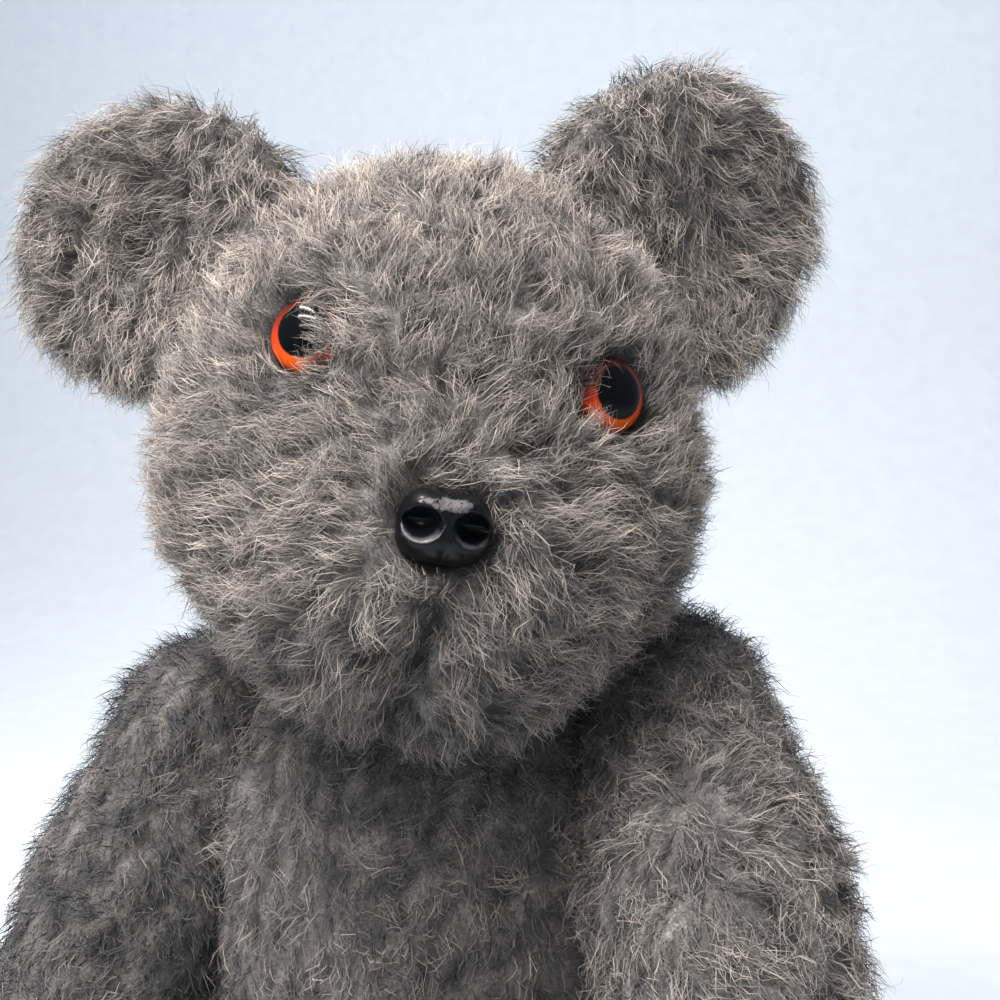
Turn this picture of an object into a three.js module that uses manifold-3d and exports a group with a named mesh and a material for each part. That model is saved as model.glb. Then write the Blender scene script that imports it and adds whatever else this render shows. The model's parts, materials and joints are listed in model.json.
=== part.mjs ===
// Threadbare sitting teddy bear with five disc joints. Millimetres, +Z up, the face looks along -Y.
// "left" and "right" are the bear's own: left is +X.
import * as THREE from 'three';
import { mergeVertices } from 'three/addons/utils/BufferGeometryUtils.js';
import Module from 'manifold-3d';

const wasm = await Module();
wasm.setup();

// ---- driving dimensions (mm, degrees) ----
const FIT = 0.35; // air between pieces that touch
const WALL = 2.5; // cloth and stuffing between a joint face and its disc

const HEAD_HALF = [60, 53, 64]; // half width, depth and height of the skull
const HEAD_AT = [3.5, -9.5, 215.5];
const HEAD_YAW = 21; // face turned to the bear's left
const HEAD_ROLL = 8; // crown leaning to the bear's left
const MUZZLE_HALF = [41, 31, 34];
const MUZZLE_AT = [-1, -36, -32];
const CHIN_GROOVE = 2.6; // depth of the pulled-in chin seam

const EYE_D = 18;
const EYE_RISE = 7;
const PUPIL_D = 12;
const EYE_SHANK_D = 4;
const EYE_SHANK_L = 13;
const EYE_LEFT_AT = [33.4, 12.5]; // across and up from the middle of the head
const EYE_RIGHT_AT = [-33.5, 15];
const EYE_TURN = 27; // each eye faces outward by this much

const NOSE_W = 20.5;
const NOSE_H = 17;
const NOSE_OUT = 10.5; // how far the nose stands off its seat
const NOSE_AT = [-2, -63, -22];
const NOSE_SHANK_D = 5;
const NOSE_SHANK_L = 12;

const EAR_LEFT_AT = [53, 3, 62];
const EAR_RIGHT_AT = [-70, 3, 36];
const EAR_LEFT_HALF = [36.5, 42]; // half width and half height of the flat ear
const EAR_RIGHT_HALF = [34, 33];
const EAR_THICK = 17;
const EAR_CUP = 11; // how far the rim comes forward of the middle

const BELLY_HALF = [54, 50, 62];
const BELLY_AT = [0, 0, 56];
const SEAT_HALF = [48, 44, 36];
const SEAT_AT = [0, 0, 33];
const CHEST_HALF = [57, 44, 56];
const CHEST_AT = [0, 0, 114];

const NECK_AT = [1, -7.5, 155.5];
const NECK_LEAN = 6; // the slack neck leans to the bear's left
const NECK_LEAN_TURN = 12; // and a little back
const NECK_DISC_D = 36;

const SHOULDER_LEFT_AT = [42, -1, 137];
const SHOULDER_RIGHT_AT = [-42, -1, 131];
const SHOULDER_LEFT_TILT = 19; // the joint face looks outward and this much upward
const SHOULDER_RIGHT_TILT = 10;
const ARM_LEFT_RAISE = 44; // forward swing from straight down
const ARM_RIGHT_RAISE = 30;
const ARM_BACK = -27; // the arm's ends, along it from the pin
const ARM_FRONT = 101;
const SHOULDER_HALF = 22.5;
const PAW_HALF = 23.5;
const ARM_OUT = 21; // arm centre line, out from the joint face
const SHOULDER_DISC_D = 26;

const HIP_AT = [40, -6, 24.5];
const LEG_SPLAY = 8;
const LEG_OUT = 20;
const LEG_FRONT = 127;
const HIP_DISC_D = 24;

const DISC_T = 2.6;
const WASHER_T = 1.2;
const PIN_D = 3.2;

const HEAD_FINE = 8; // how finely the round pieces are faceted
const BODY_FINE = 6;
const LIMB_FINE = 5;
const DISC_SIDES = 18;
const RING_SIDES = 12;

// ---- materials ----
function paint(name, colour, roughness, metalness = 0) {
  const m = new THREE.MeshStandardMaterial({ color: colour, roughness, metalness });
  m.name = name;
  return m;
}
const PILE = paint('grey wool pile', '#8a8480', 0.95);
const FELT = paint('grey felt', '#77706a', 0.95);
const AMBER = paint('amber plastic', '#b8611c', 0.12);
const BLACK = paint('black plastic', '#0d0c0d', 0.15);
const BOARD = paint('hardboard', '#6d5138', 0.8);
const STEEL = paint('steel', '#8d8f91', 0.4, 1);

// ---- solids ----
function solidOf(geometry) {
  const g = geometry.clone();
  g.deleteAttribute('normal');
  g.deleteAttribute('uv');
  const m = mergeVertices(g, 1e-4);
  return new wasm.Manifold(new wasm.Mesh({
    numProp: 3,
    vertProperties: new Float32Array(m.attributes.position.array),
    triVerts: new Uint32Array(m.index.array),
  }));
}

function geometryOf(solid) {
  const m = solid.getMesh();
  const g = new THREE.BufferGeometry();
  const points = new Float32Array(m.vertProperties);
  g.setAttribute('position', new THREE.BufferAttribute(points, 3));
  g.setIndex(new THREE.BufferAttribute(new Uint32Array(m.triVerts), 1));
  return g;
}

// a round bar along +Z from z0 to z1
function bar(diameter, z0, z1, sides = RING_SIDES) {
  const g = new THREE.CylinderGeometry(diameter / 2, diameter / 2, z1 - z0, sides);
  g.rotateX(Math.PI / 2);
  g.translate(0, 0, (z0 + z1) / 2);
  return g;
}

// a flat ring along +Z
function ring(outer, inner, z0, z1, sides = RING_SIDES) {
  const line = [
    new THREE.Vector2(inner / 2, z0),
    new THREE.Vector2(outer / 2, z0),
    new THREE.Vector2(outer / 2, z1),
    new THREE.Vector2(inner / 2, z1),
    new THREE.Vector2(inner / 2, z0),
  ];
  const g = new THREE.LatheGeometry(line, sides);
  g.rotateX(Math.PI / 2);
  return g;
}

// a turned shape from (radius, height) pairs, its axis along +Z
function turned(pairs, sides = 20) {
  const g = new THREE.LatheGeometry(pairs.map(([r, z]) => new THREE.Vector2(r, z)), sides);
  g.rotateX(Math.PI / 2);
  return g;
}

// ---- soft shapes: one smooth surface round a blended field ----
function ellipsoid(at, half) {
  return (p) => {
    const x = (p.x - at[0]) / half[0];
    const y = (p.y - at[1]) / half[1];
    const z = (p.z - at[2]) / half[2];
    const k = Math.hypot(x, y, z);
    const slope = Math.hypot(x / half[0], y / half[1], z / half[2]);
    return slope < 1e-9 ? -Math.min(...half) : (k * (k - 1)) / slope;
  };
}

// a bar with round ends between two points, thinning from one radius to the other
function sausage(a, b, ra, rb) {
  const from = new THREE.Vector3(...a);
  const along = new THREE.Vector3(...b).sub(from);
  const long = along.lengthSq();
  return (p) => {
    const d = p.clone().sub(from);
    const t = THREE.MathUtils.clamp(d.dot(along) / long, 0, 1);
    return d.addScaledVector(along, -t).length() - THREE.MathUtils.lerp(ra, rb, t);
  };
}

function blend(k, ...fields) {
  return (p) => fields.map((f) => f(p)).reduce((a, b) => {
    const h = Math.max(k - Math.abs(a - b), 0) / k;
    return Math.min(a, b) - (h * h * k) / 4;
  });
}

function carve(k, field, hollow) {
  return (p) => {
    const a = field(p);
    const b = -hollow(p);
    const h = Math.max(k - Math.abs(a - b), 0) / k;
    return Math.max(a, b) + (h * h * k) / 4;
  };
}

// the point where a line from inside a field along a direction first leaves it
function leave(field, from, way, level = 0) {
  const inside = (t) => field(from.clone().addScaledVector(way, t)) < level;
  let near = 0;
  while (inside(near + 8) && near < 220) near += 8;
  let far = near + 8;
  for (let n = 0; n < 20; n += 1) {
    const mid = (near + far) / 2;
    if (inside(mid)) near = mid;
    else far = mid;
  }
  return from.clone().addScaledVector(way, near);
}

// rays from a middle point meet the field; stretch spreads the rays over a long shape
function skin(field, middle, stretch, detail, level = 0) {
  const g = mergeVertices(bare(new THREE.IcosahedronGeometry(1, detail)), 1e-5);
  const points = g.attributes.position;
  const from = new THREE.Vector3(...middle);
  for (let i = 0; i < points.count; i += 1) {
    const way = new THREE.Vector3().fromBufferAttribute(points, i);
    way.multiply(new THREE.Vector3(...stretch)).normalize();
    points.setXYZ(i, ...leave(field, from, way, level).toArray());
  }
  return g;
}

function bare(geometry) {
  geometry.deleteAttribute('normal');
  geometry.deleteAttribute('uv');
  return geometry;
}

// turns a shape made along +Z so that it points along a direction, at a place
function aim(geometry, way, at) {
  const turn = new THREE.Quaternion();
  turn.setFromUnitVectors(new THREE.Vector3(0, 0, 1), new THREE.Vector3(...way).normalize());
  return geometry.clone().applyQuaternion(turn).translate(...at);
}

const rad = THREE.MathUtils.degToRad;
const nodes = [];
function piece(name, geometry, material) {
  nodes.push({ name, geometry, material });
}

// ---- disc joints ----
// One joint along an axis that points from the body into the limb, through a pin at a place.
function joint(name, at, axis, discD) {
  const washerD = 14;
  const holeD = PIN_D + 2 * FIT;
  const d0 = WALL + FIT;
  const d1 = d0 + DISC_T;
  const w0 = d1 + FIT;
  const w1 = w0 + WASHER_T;
  const place = (g) => aim(g, axis, at);
  piece(`disc_${name}_limb`, place(ring(discD, holeD, d0, d1, DISC_SIDES)), BOARD);
  piece(`washer_${name}_limb`, place(ring(washerD, holeD, w0, w1)), STEEL);
  piece(`disc_${name}_body`, place(ring(discD, holeD, -d1, -d0, DISC_SIDES)), BOARD);
  piece(`washer_${name}_body`, place(ring(washerD, holeD, -w1, -w0)), STEEL);
  const r = PIN_D / 2;
  const top = w1 + FIT;
  const shaft = turned([
    [0, -top - 2.6],
    [r, -top - 2.6],
    [r, top],
    [r + 1.8, top],
    [r + 1.8, top + 1.4],
    [r, top + 2.4],
    [0, top + 2.6],
  ], 12);
  const crown = new THREE.BoxGeometry(10.4, 2, 1.6).translate(0, 0, -top - 0.8);
  const curls = [-1, 1].map((s) => {
    return solidOf(new THREE.BoxGeometry(1.6, 2, 3.4).translate(s * 4.8, 0, -top - 1.7));
  });
  const pin = solidOf(shaft).add(solidOf(crown)).add(curls[0]).add(curls[1]);
  piece(`pin_${name}`, place(geometryOf(pin)), STEEL);
  // the hollows: one in each stuffed piece, both open through the pin hole
  const reach = top + 4.2;
  const limb = solidOf(place(bar(discD + 3 * FIT, WALL, w1 + 0.5, DISC_SIDES)))
    .add(solidOf(place(bar(washerD + 2 * FIT, w1, reach))))
    .add(solidOf(place(bar(holeD, -3, WALL + 1))));
  const body = solidOf(place(bar(discD + 3 * FIT, -w1 - 0.5, -WALL, DISC_SIDES)))
    .add(solidOf(place(bar(washerD + 2 * FIT, -reach, -w1))))
    .add(solidOf(place(bar(holeD, -WALL - 1, 3))));
  return { limb, body };
}

// keeps the side of a solid that lies along a direction from a place
function side(solid, way, at, gap) {
  const n = new THREE.Vector3(...way).normalize();
  return solid.trimByPlane(n.toArray(), n.dot(new THREE.Vector3(...at)) + gap);
}

// ---- body ----
const bellyField = ellipsoid(BELLY_AT, BELLY_HALF);
const chestField = ellipsoid(CHEST_AT, CHEST_HALF);
const seatField = ellipsoid(SEAT_AT, SEAT_HALF);
const bodyField = blend(26, bellyField, chestField, seatField);
let body = solidOf(skin(bodyField, [0, 0, 75], [1, 0.9, 1.4], BODY_FINE));
body = side(body, [0, 0, 1], [0, 0, 0], 0);

// ---- neck ----
const neckAxis = [
  Math.sin(rad(NECK_LEAN)) * Math.cos(rad(NECK_LEAN_TURN)),
  Math.sin(rad(NECK_LEAN)) * Math.sin(rad(NECK_LEAN_TURN)),
  Math.cos(rad(NECK_LEAN)),
];
const neck = joint('neck', NECK_AT, neckAxis, NECK_DISC_D);
const downNeck = neckAxis.map((v) => -v);
body = side(body, downNeck, NECK_AT, FIT);
body = body.subtract(neck.body);

// ---- head, made level about its own middle and then leaned and turned ----
const lean = new THREE.Matrix4().makeTranslation(...HEAD_AT)
  .multiply(new THREE.Matrix4().makeRotationZ(rad(HEAD_YAW)))
  .multiply(new THREE.Matrix4().makeRotationY(rad(HEAD_ROLL)));
const placed = (g) => g.clone().applyMatrix4(lean);

const skull = ellipsoid([0, 0, 0], HEAD_HALF);
const muzzle = ellipsoid(MUZZLE_AT, MUZZLE_HALF);
const cheekLeft = ellipsoid([34, -16, -14], [24, 28, 30]);
const cheekRight = ellipsoid([-34, -16, -14], [24, 28, 30]);
const groove = sausage([-1, -71, -32], [-5, -47, -69], CHIN_GROOVE, CHIN_GROOVE + 1);
const socketLeft = ellipsoid([31, -52, 13], [11, 10, 11]);
const socketRight = ellipsoid([-33.5, -51, 15], [11, 10, 11]);
let headField = blend(14, skull, muzzle, cheekLeft, cheekRight);
headField = carve(6, headField, groove);
headField = carve(6, headField, socketLeft);
headField = carve(6, headField, socketRight);
let head = solidOf(placed(skin(headField, [0, -6, 0], [1, 1, 1], HEAD_FINE)));
head = head.subtract(solidOf(aim(bar(76, -30, FIT, 36), neckAxis, NECK_AT)));
head = head.subtract(neck.limb);

// ---- eyes ----
function eye(name, at, turnSide) {
  const way = [Math.sin(rad(EYE_TURN)) * turnSide, -Math.cos(rad(EYE_TURN)), 0.06];
  const n = new THREE.Vector3(...way).normalize();
  const behind = new THREE.Vector3(at[0], -10, at[1]);
  const seat = leave(headField, behind, new THREE.Vector3(0, -1, 0)).addScaledVector(n, -1.2);
  const place = (g) => placed(aim(g, way, seat.toArray()));
  const r = EYE_D / 2;
  const lens = [];
  lens.push([PUPIL_D / 2 + FIT, 0]);
  lens.push([r - 0.5, 0]);
  for (let i = 0; i <= 5; i += 1) {
    const a = rad(6 + (84 * i) / 5);
    const out = i === 5 ? 0 : r * Math.cos(a);
    lens.push([out, 0.8 + (EYE_RISE - 0.8) * Math.sin(a)]);
  }
  lens.push([0, 2.2 + FIT]);
  lens.push([PUPIL_D / 2 + FIT, 2.2 + FIT]);
  lens.push([PUPIL_D / 2 + FIT, 0]);
  piece(`eye_${name}_lens`, place(turned(lens, 20)), AMBER);
  const s = EYE_SHANK_D / 2;
  const pupil = turned([
    [0, -EYE_SHANK_L],
    [s - 0.5, -EYE_SHANK_L],
    [s, -EYE_SHANK_L + 0.8],
    [s, 0.3],
    [PUPIL_D / 2, 0.3],
    [PUPIL_D / 2, 2.2],
    [0, 2.2],
  ], 20);
  piece(`eye_${name}_pupil`, place(pupil), BLACK);
  piece(`eye_${name}_washer`, place(ring(13, EYE_SHANK_D + 2 * FIT, -6.4, -5.2)), STEEL);
  const hollow = solidOf(place(bar(EYE_D + 3 * FIT, -FIT, 16, 20)))
    .add(solidOf(place(bar(EYE_SHANK_D + 2 * FIT, -EYE_SHANK_L - 0.6, 1))))
    .add(solidOf(place(bar(13.6, -6.7, -4.9))));
  head = head.subtract(hollow);
}
eye('left', EYE_LEFT_AT, 1);
eye('right', EYE_RIGHT_AT, -1);

// ---- nose: one moulding with its shank, and a push-on washer ----
const noseWay = [0, -Math.cos(rad(6)), Math.sin(rad(6))];
const noseAxis = new THREE.Vector3(...noseWay);
const noseFrom = new THREE.Vector3(...NOSE_AT).addScaledVector(noseAxis, -30);
const noseSeat = leave(headField, noseFrom, noseAxis).addScaledVector(noseAxis, -1.5);
// the moulding is made with its face toward +Z and its brow toward +Y, then stood up
function stand(geometry) {
  const up = new THREE.Vector3(0, 0, 1);
  const z = new THREE.Vector3(...noseWay).normalize();
  const x = new THREE.Vector3().crossVectors(up, z).normalize();
  const y = new THREE.Vector3().crossVectors(z, x);
  const m = new THREE.Matrix4().makeBasis(x, y, z).setPosition(noseSeat);
  return placed(geometry.clone().applyMatrix4(m));
}
const noseWide = ellipsoid([0, 2.2, 0.5], [NOSE_W / 2, NOSE_H / 2 - 2.4, NOSE_OUT - 1.6]);
const noseLow = ellipsoid([0, -2.6, 1], [NOSE_W / 2 - 3.4, NOSE_H / 2 - 2.7, NOSE_OUT - 1]);
const dip = ellipsoid([0, 9.4, 7], [2.6, 3, 5]);
const nostrilLeft = ellipsoid([4.3, -1.2, 9.4], [2.7, 2.1, 4.4]);
const nostrilRight = ellipsoid([-4.3, -1.2, 9.4], [2.7, 2.1, 4.4]);
let noseField = blend(5, noseWide, noseLow);
noseField = carve(2.5, noseField, dip);
noseField = carve(1.2, noseField, nostrilLeft);
noseField = carve(1.2, noseField, nostrilRight);
let nose = solidOf(skin(noseField, [0, 0, 2.5], [1, 0.9, 0.9], 6));
nose = nose.trimByPlane([0, 0, 1], 0);
nose = nose.add(solidOf(bar(NOSE_SHANK_D, -NOSE_SHANK_L, 1)));
piece('nose', stand(geometryOf(nose)), BLACK);
piece('nose_washer', stand(ring(15, NOSE_SHANK_D + 2 * FIT, -6.8, -5.4)), STEEL);
const noseBed = new THREE.CylinderGeometry(0.5, 0.5, 12 + FIT, 28).rotateX(Math.PI / 2);
noseBed.scale(NOSE_W + 1.6, NOSE_H + 1.6, 1).translate(0, 0, 6 - FIT / 2);
head = head.subtract(solidOf(stand(noseBed)));
head = head.subtract(solidOf(stand(bar(NOSE_SHANK_D + 2 * FIT, -NOSE_SHANK_L - 0.6, 1))));
head = head.subtract(solidOf(stand(bar(15.6, -7.1, -5.1))));
piece('head', geometryOf(head), PILE);

// ---- ears: padded cups, cut to the curve of the head ----
const headOver = solidOf(placed(skin(headField, [0, -6, 0], [1, 1, 1], HEAD_FINE, FIT * 1.4)));
function ear(name, at, half, spin, faceOut) {
  const rows = 5;
  const round = 22;
  const points = [];
  const shape = (front, row, k) => {
    const rho = Math.sin((Math.PI / 2) * (row / rows));
    const phi = (2 * Math.PI * k) / round;
    const thick = (EAR_THICK / 2) * Math.sqrt(Math.max(0, 1 - rho ** 3));
    const cup = -EAR_CUP * rho * rho + EAR_CUP * 0.45;
    const y = cup + (front ? -thick : thick);
    return [half[0] * rho * Math.cos(phi), y, half[1] * rho * Math.sin(phi)];
  };
  points.push(shape(true, 0, 0));
  for (let row = 1; row <= rows; row += 1) {
    for (let k = 0; k < round; k += 1) points.push(shape(true, row, k));
  }
  for (let row = rows - 1; row >= 1; row -= 1) {
    for (let k = 0; k < round; k += 1) points.push(shape(false, row, k));
  }
  points.push(shape(false, 0, 0));
  const bands = 2 * rows - 1;
  const last = points.length - 1;
  const faces = [];
  for (let k = 0; k < round; k += 1) {
    const next = (k + 1) % round;
    faces.push([0, 1 + k, 1 + next]);
    for (let b = 0; b < bands - 1; b += 1) {
      const a0 = 1 + b * round + k;
      const a1 = 1 + b * round + next;
      faces.push([a0, a0 + round, a1 + round]);
      faces.push([a0, a1 + round, a1]);
    }
    const end = 1 + (bands - 1) * round;
    faces.push([end + k, last, end + next]);
  }
  const g = new THREE.BufferGeometry();
  g.setAttribute('position', new THREE.Float32BufferAttribute(points.flat(), 3));
  g.setIndex(faces.flat());
  const m = new THREE.Matrix4().makeTranslation(...at)
    .multiply(new THREE.Matrix4().makeRotationZ(rad(faceOut)))
    .multiply(new THREE.Matrix4().makeRotationY(rad(spin)));
  let solid = solidOf(placed(g.applyMatrix4(m)));
  solid = solid.subtract(headOver);
  const parts = solid.decompose().sort((a, b) => b.volume() - a.volume());
  piece(`ear_${name}`, geometryOf(parts[0]), PILE);
}
ear('left', EAR_LEFT_AT, EAR_LEFT_HALF, 30, 14);
ear('right', EAR_RIGHT_AT, EAR_RIGHT_HALF, -40, -14);

// ---- arms: made hanging from the pin along -Z, joint face on -X, swung and tilted after ----
function swing(sideSign, at, tiltDegrees, raise) {
  const tilt = rad(tiltDegrees);
  const axis = new THREE.Vector3(Math.cos(tilt) * sideSign, 0, Math.sin(tilt));
  const down = new THREE.Vector3(Math.sin(tilt) * sideSign, 0, -Math.cos(tilt));
  const front = new THREE.Vector3(0, -1, 0);
  const r = rad(raise);
  const along = down.clone().multiplyScalar(Math.cos(r)).addScaledVector(front, Math.sin(r));
  const ahead = front.clone().multiplyScalar(Math.cos(r)).addScaledVector(down, -Math.sin(r));
  const m = new THREE.Matrix4().makeBasis(axis, along, ahead);
  return { m: m.setPosition(...at), axis: axis.toArray() };
}
// the limb's own frame: x out from the joint face, y along the limb, z toward its front
function putLimb(geometry, m) {
  const g = geometry.clone().applyMatrix4(m);
  if (m.determinant() > 0) return g;
  const index = g.index.array;
  for (let i = 0; i < index.length; i += 3) {
    const keep = index[i];
    index[i] = index[i + 1];
    index[i + 1] = keep;
  }
  return g;
}
const crown = ARM_BACK + SHOULDER_HALF;
const paw = ARM_FRONT - PAW_HALF;
const armField = blend(
  12,
  sausage([ARM_OUT, crown, 0], [ARM_OUT + 1, paw * 0.55, -1], SHOULDER_HALF, PAW_HALF),
  sausage([ARM_OUT + 1, paw * 0.5, -1], [ARM_OUT, paw, 2], PAW_HALF, PAW_HALF),
);
function arm(name, sideSign, at, tilt, raise) {
  const { m, axis } = swing(sideSign, at, tilt, raise);
  const made = joint(`shoulder_${name}`, at, axis, SHOULDER_DISC_D);
  body = side(body, axis.map((v) => -v), at, FIT);
  body = body.subtract(made.body);
  const middle = [ARM_OUT, (ARM_FRONT + ARM_BACK) / 2, 0];
  let solid = solidOf(putLimb(skin(armField, middle, [1, 2.6, 1], LIMB_FINE), m));
  solid = side(solid, axis, at, FIT);
  solid = solid.subtract(made.limb);
  piece(`arm_${name}`, geometryOf(solid), PILE);
  // felt pad on the palm
  const outer = solidOf(putLimb(skin(armField, middle, [1, 2.6, 1], LIMB_FINE, FIT + 1.3), m));
  const inner = solidOf(putLimb(skin(armField, middle, [1, 2.6, 1], LIMB_FINE, FIT), m));
  const oval = new THREE.CylinderGeometry(15, 15, 30, 24).scale(0.8, 1, 1.15);
  oval.rotateX(Math.PI / 2).rotateZ(Math.PI / 2);
  oval.rotateY(rad(58)).translate(ARM_OUT - 8, paw - 4, -22);
  let pad = outer.subtract(inner).intersect(solidOf(putLimb(bare(oval), m)));
  pad = pad.decompose().sort((a, b) => b.volume() - a.volume())[0];
  piece(`paw_pad_${name}`, geometryOf(pad), FELT);
  return { at, axis };
}
arm('left', 1, SHOULDER_LEFT_AT, SHOULDER_LEFT_TILT, ARM_LEFT_RAISE);
arm('right', -1, SHOULDER_RIGHT_AT, SHOULDER_RIGHT_TILT, ARM_RIGHT_RAISE);

// ---- legs: stretched forward on the seat, the feet upright ----
const legField = blend(
  22,
  ellipsoid([LEG_OUT, 0, 1], [22.5, 25, 23]),
  sausage([LEG_OUT, 8, 3.5], [LEG_OUT + 1, LEG_FRONT - 26, 3], 18, 19),
  ellipsoid([LEG_OUT + 1, LEG_FRONT - 17, -12.5], [22, 22, 36.5]),
);
function leg(name, sideSign) {
  const at = [HIP_AT[0] * sideSign, HIP_AT[1], HIP_AT[2]];
  const splay = rad(LEG_SPLAY);
  const axis = new THREE.Vector3(Math.cos(splay) * sideSign, Math.sin(splay), 0);
  const along = new THREE.Vector3(Math.sin(splay) * sideSign, -Math.cos(splay), 0);
  const ahead = new THREE.Vector3(0, 0, -1);
  const m = new THREE.Matrix4().makeBasis(axis, along, ahead).setPosition(...at);
  const way = axis.toArray();
  const made = joint(`hip_${name}`, at, way, HIP_DISC_D);
  const press = new THREE.BoxGeometry(60, 160, 60).translate(30 - FIT, 0, 0);
  press.rotateZ(Math.atan2(way[1], way[0]));
  body = body.subtract(solidOf(press.translate(...at)));
  body = body.subtract(made.body);
  const middle = [LEG_OUT, LEG_FRONT - 42, -8];
  let solid = solidOf(putLimb(skin(legField, middle, [1, 2.2, 1.1], LIMB_FINE + 1), m));
  solid = side(solid, way, at, FIT);
  solid = side(solid, [0, 0, 1], [0, 0, 0], 0.4);
  const sole = along.clone().multiplyScalar(LEG_FRONT).add(new THREE.Vector3(...at));
  solid = side(solid, along.clone().negate().toArray(), sole.toArray(), 0);
  solid = solid.subtract(made.limb);
  piece(`leg_${name}`, geometryOf(solid), PILE);
  const pad = turned([
    [0, 0],
    [0.94, 0],
    [1, 0.6],
    [0.94, 1.4],
    [0, 1.6],
  ], 22).scale(17, 27, 1);
  const stood = new THREE.Matrix4().makeBasis(axis, ahead.clone().negate(), along);
  stood.setPosition(LEG_OUT * axis.x + at[0], LEG_OUT * axis.y + at[1], 40);
  const off = along.clone().multiplyScalar(LEG_FRONT + FIT);
  const pasted = putLimb(mergeVertices(bare(pad), 1e-4), stood).translate(off.x, off.y, 0);
  piece(`foot_pad_${name}`, pasted, FELT);
}
leg('left', 1);
leg('right', -1);
piece('body', geometryOf(body), PILE);

const group = new THREE.Group();
group.name = 'teddy_bear';
for (const { name, geometry, material } of nodes) {
  const mesh = new THREE.Mesh(geometry, material.clone());
  mesh.name = name;
  group.add(mesh);
}
export default group;
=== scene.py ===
"""Looks for the jointed curly-pile teddy bear: its pile, cloth, eyes, nose, pads, joints and stage."""

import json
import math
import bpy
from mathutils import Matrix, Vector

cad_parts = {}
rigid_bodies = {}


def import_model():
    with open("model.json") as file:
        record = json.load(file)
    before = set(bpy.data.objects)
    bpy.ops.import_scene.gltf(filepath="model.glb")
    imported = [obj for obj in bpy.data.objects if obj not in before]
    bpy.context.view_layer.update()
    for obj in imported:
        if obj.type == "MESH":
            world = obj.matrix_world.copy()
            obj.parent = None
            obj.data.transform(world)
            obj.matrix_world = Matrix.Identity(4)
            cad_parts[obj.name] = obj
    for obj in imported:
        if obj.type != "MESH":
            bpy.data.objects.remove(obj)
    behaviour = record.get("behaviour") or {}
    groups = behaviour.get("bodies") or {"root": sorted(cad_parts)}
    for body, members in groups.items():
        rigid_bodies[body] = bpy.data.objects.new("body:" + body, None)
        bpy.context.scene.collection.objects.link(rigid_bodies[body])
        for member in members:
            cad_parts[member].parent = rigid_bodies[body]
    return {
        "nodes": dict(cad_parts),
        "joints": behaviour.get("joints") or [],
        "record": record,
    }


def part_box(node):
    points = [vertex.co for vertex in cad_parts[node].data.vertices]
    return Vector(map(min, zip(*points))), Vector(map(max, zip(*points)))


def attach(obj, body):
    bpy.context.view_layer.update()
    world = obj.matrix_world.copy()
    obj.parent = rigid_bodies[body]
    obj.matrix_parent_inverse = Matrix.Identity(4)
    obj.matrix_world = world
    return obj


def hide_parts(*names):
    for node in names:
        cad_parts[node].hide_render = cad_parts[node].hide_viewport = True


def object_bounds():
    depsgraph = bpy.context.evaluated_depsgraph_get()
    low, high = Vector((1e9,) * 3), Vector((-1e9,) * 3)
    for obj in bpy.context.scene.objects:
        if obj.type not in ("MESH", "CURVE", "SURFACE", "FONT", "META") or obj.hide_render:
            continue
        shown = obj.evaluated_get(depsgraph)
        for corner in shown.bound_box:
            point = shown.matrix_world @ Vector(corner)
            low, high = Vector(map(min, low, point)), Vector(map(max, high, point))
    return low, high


bl_info = {
    "name": "Threadbare teddy bear",
    "version": (1, 0, 0),
    "blender": (4, 5, 0),
    "location": "3D View > Sidebar > Bear",
    "description": "Grows the worn pile and finishes the parts of a jointed teddy bear",
    "category": "Object",
}

import bpy
import numpy as np
from mathutils import Matrix, Vector
from mathutils.bvhtree import BVHTree
from mathutils.kdtree import KDTree

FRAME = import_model()
CAD_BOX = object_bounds()
MM = 0.001
PADS = ("paw_pad_left", "paw_pad_right", "foot_pad_left", "foot_pad_right")
BODY_OF = {n: b for b, ns in FRAME["record"]["behaviour"]["bodies"].items() for n in ns}

# the head is set on its neck turned to the bear's left and tipped to one side
HEAD_AT = (3.5, -9.5, 215.5)
HEAD_YAW = 21
HEAD_ROLL = 8
HEAD_PLACE = (
    Matrix.Translation(HEAD_AT)
    @ Matrix.Rotation(math.radians(HEAD_YAW), 4, "Z")
    @ Matrix.Rotation(math.radians(HEAD_ROLL), 4, "Y")
)


def linear(code, alpha=1.0):
    """An sRGB hex colour as the linear RGBA that shaders want."""
    parts = [int(code[i : i + 2], 16) / 255 for i in (1, 3, 5)]
    made = [c / 12.92 if c <= 0.04045 else ((c + 0.055) / 1.055) ** 2.4 for c in parts]
    return (*made, alpha)


# ---- the sizes and colours that a user would change ----


class BearPile(bpy.types.PropertyGroup):
    length: bpy.props.FloatProperty(
        name="Pile length", description="Length of one fibre of the pile",
        default=0.0125, min=0.003, max=0.03, unit="LENGTH",
    )
    lock: bpy.props.FloatProperty(
        name="Lock width", description="How far apart the curled locks of the pile lie",
        default=0.0036, min=0.001, max=0.02, unit="LENGTH",
    )
    fibre: bpy.props.FloatProperty(
        name="Fibre width", description="Width of a drawn fibre, which stands for several real ones",
        default=0.00030, min=0.0001, max=0.002, unit="LENGTH",
    )
    fullness: bpy.props.FloatProperty(
        name="Fullness", description="Share of the pile's fibres that are grown",
        default=1.0, min=0.02, max=1.0, subtype="FACTOR",
    )
    # painted shade: the dark root colour is kept dye and also paints the shade deep in the pile
    root: bpy.props.FloatVectorProperty(
        name="Root colour", description="Colour deep in the pile, where it keeps its dye",
        default=linear("#3A3A3E")[:3], size=3, min=0, max=1, subtype="COLOR",
    )
    tip: bpy.props.FloatVectorProperty(
        name="Tip colour", description="Faded colour of the pile's tips",
        default=linear("#D6D0CB")[:3], size=3, min=0, max=1, subtype="COLOR",
    )


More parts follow.
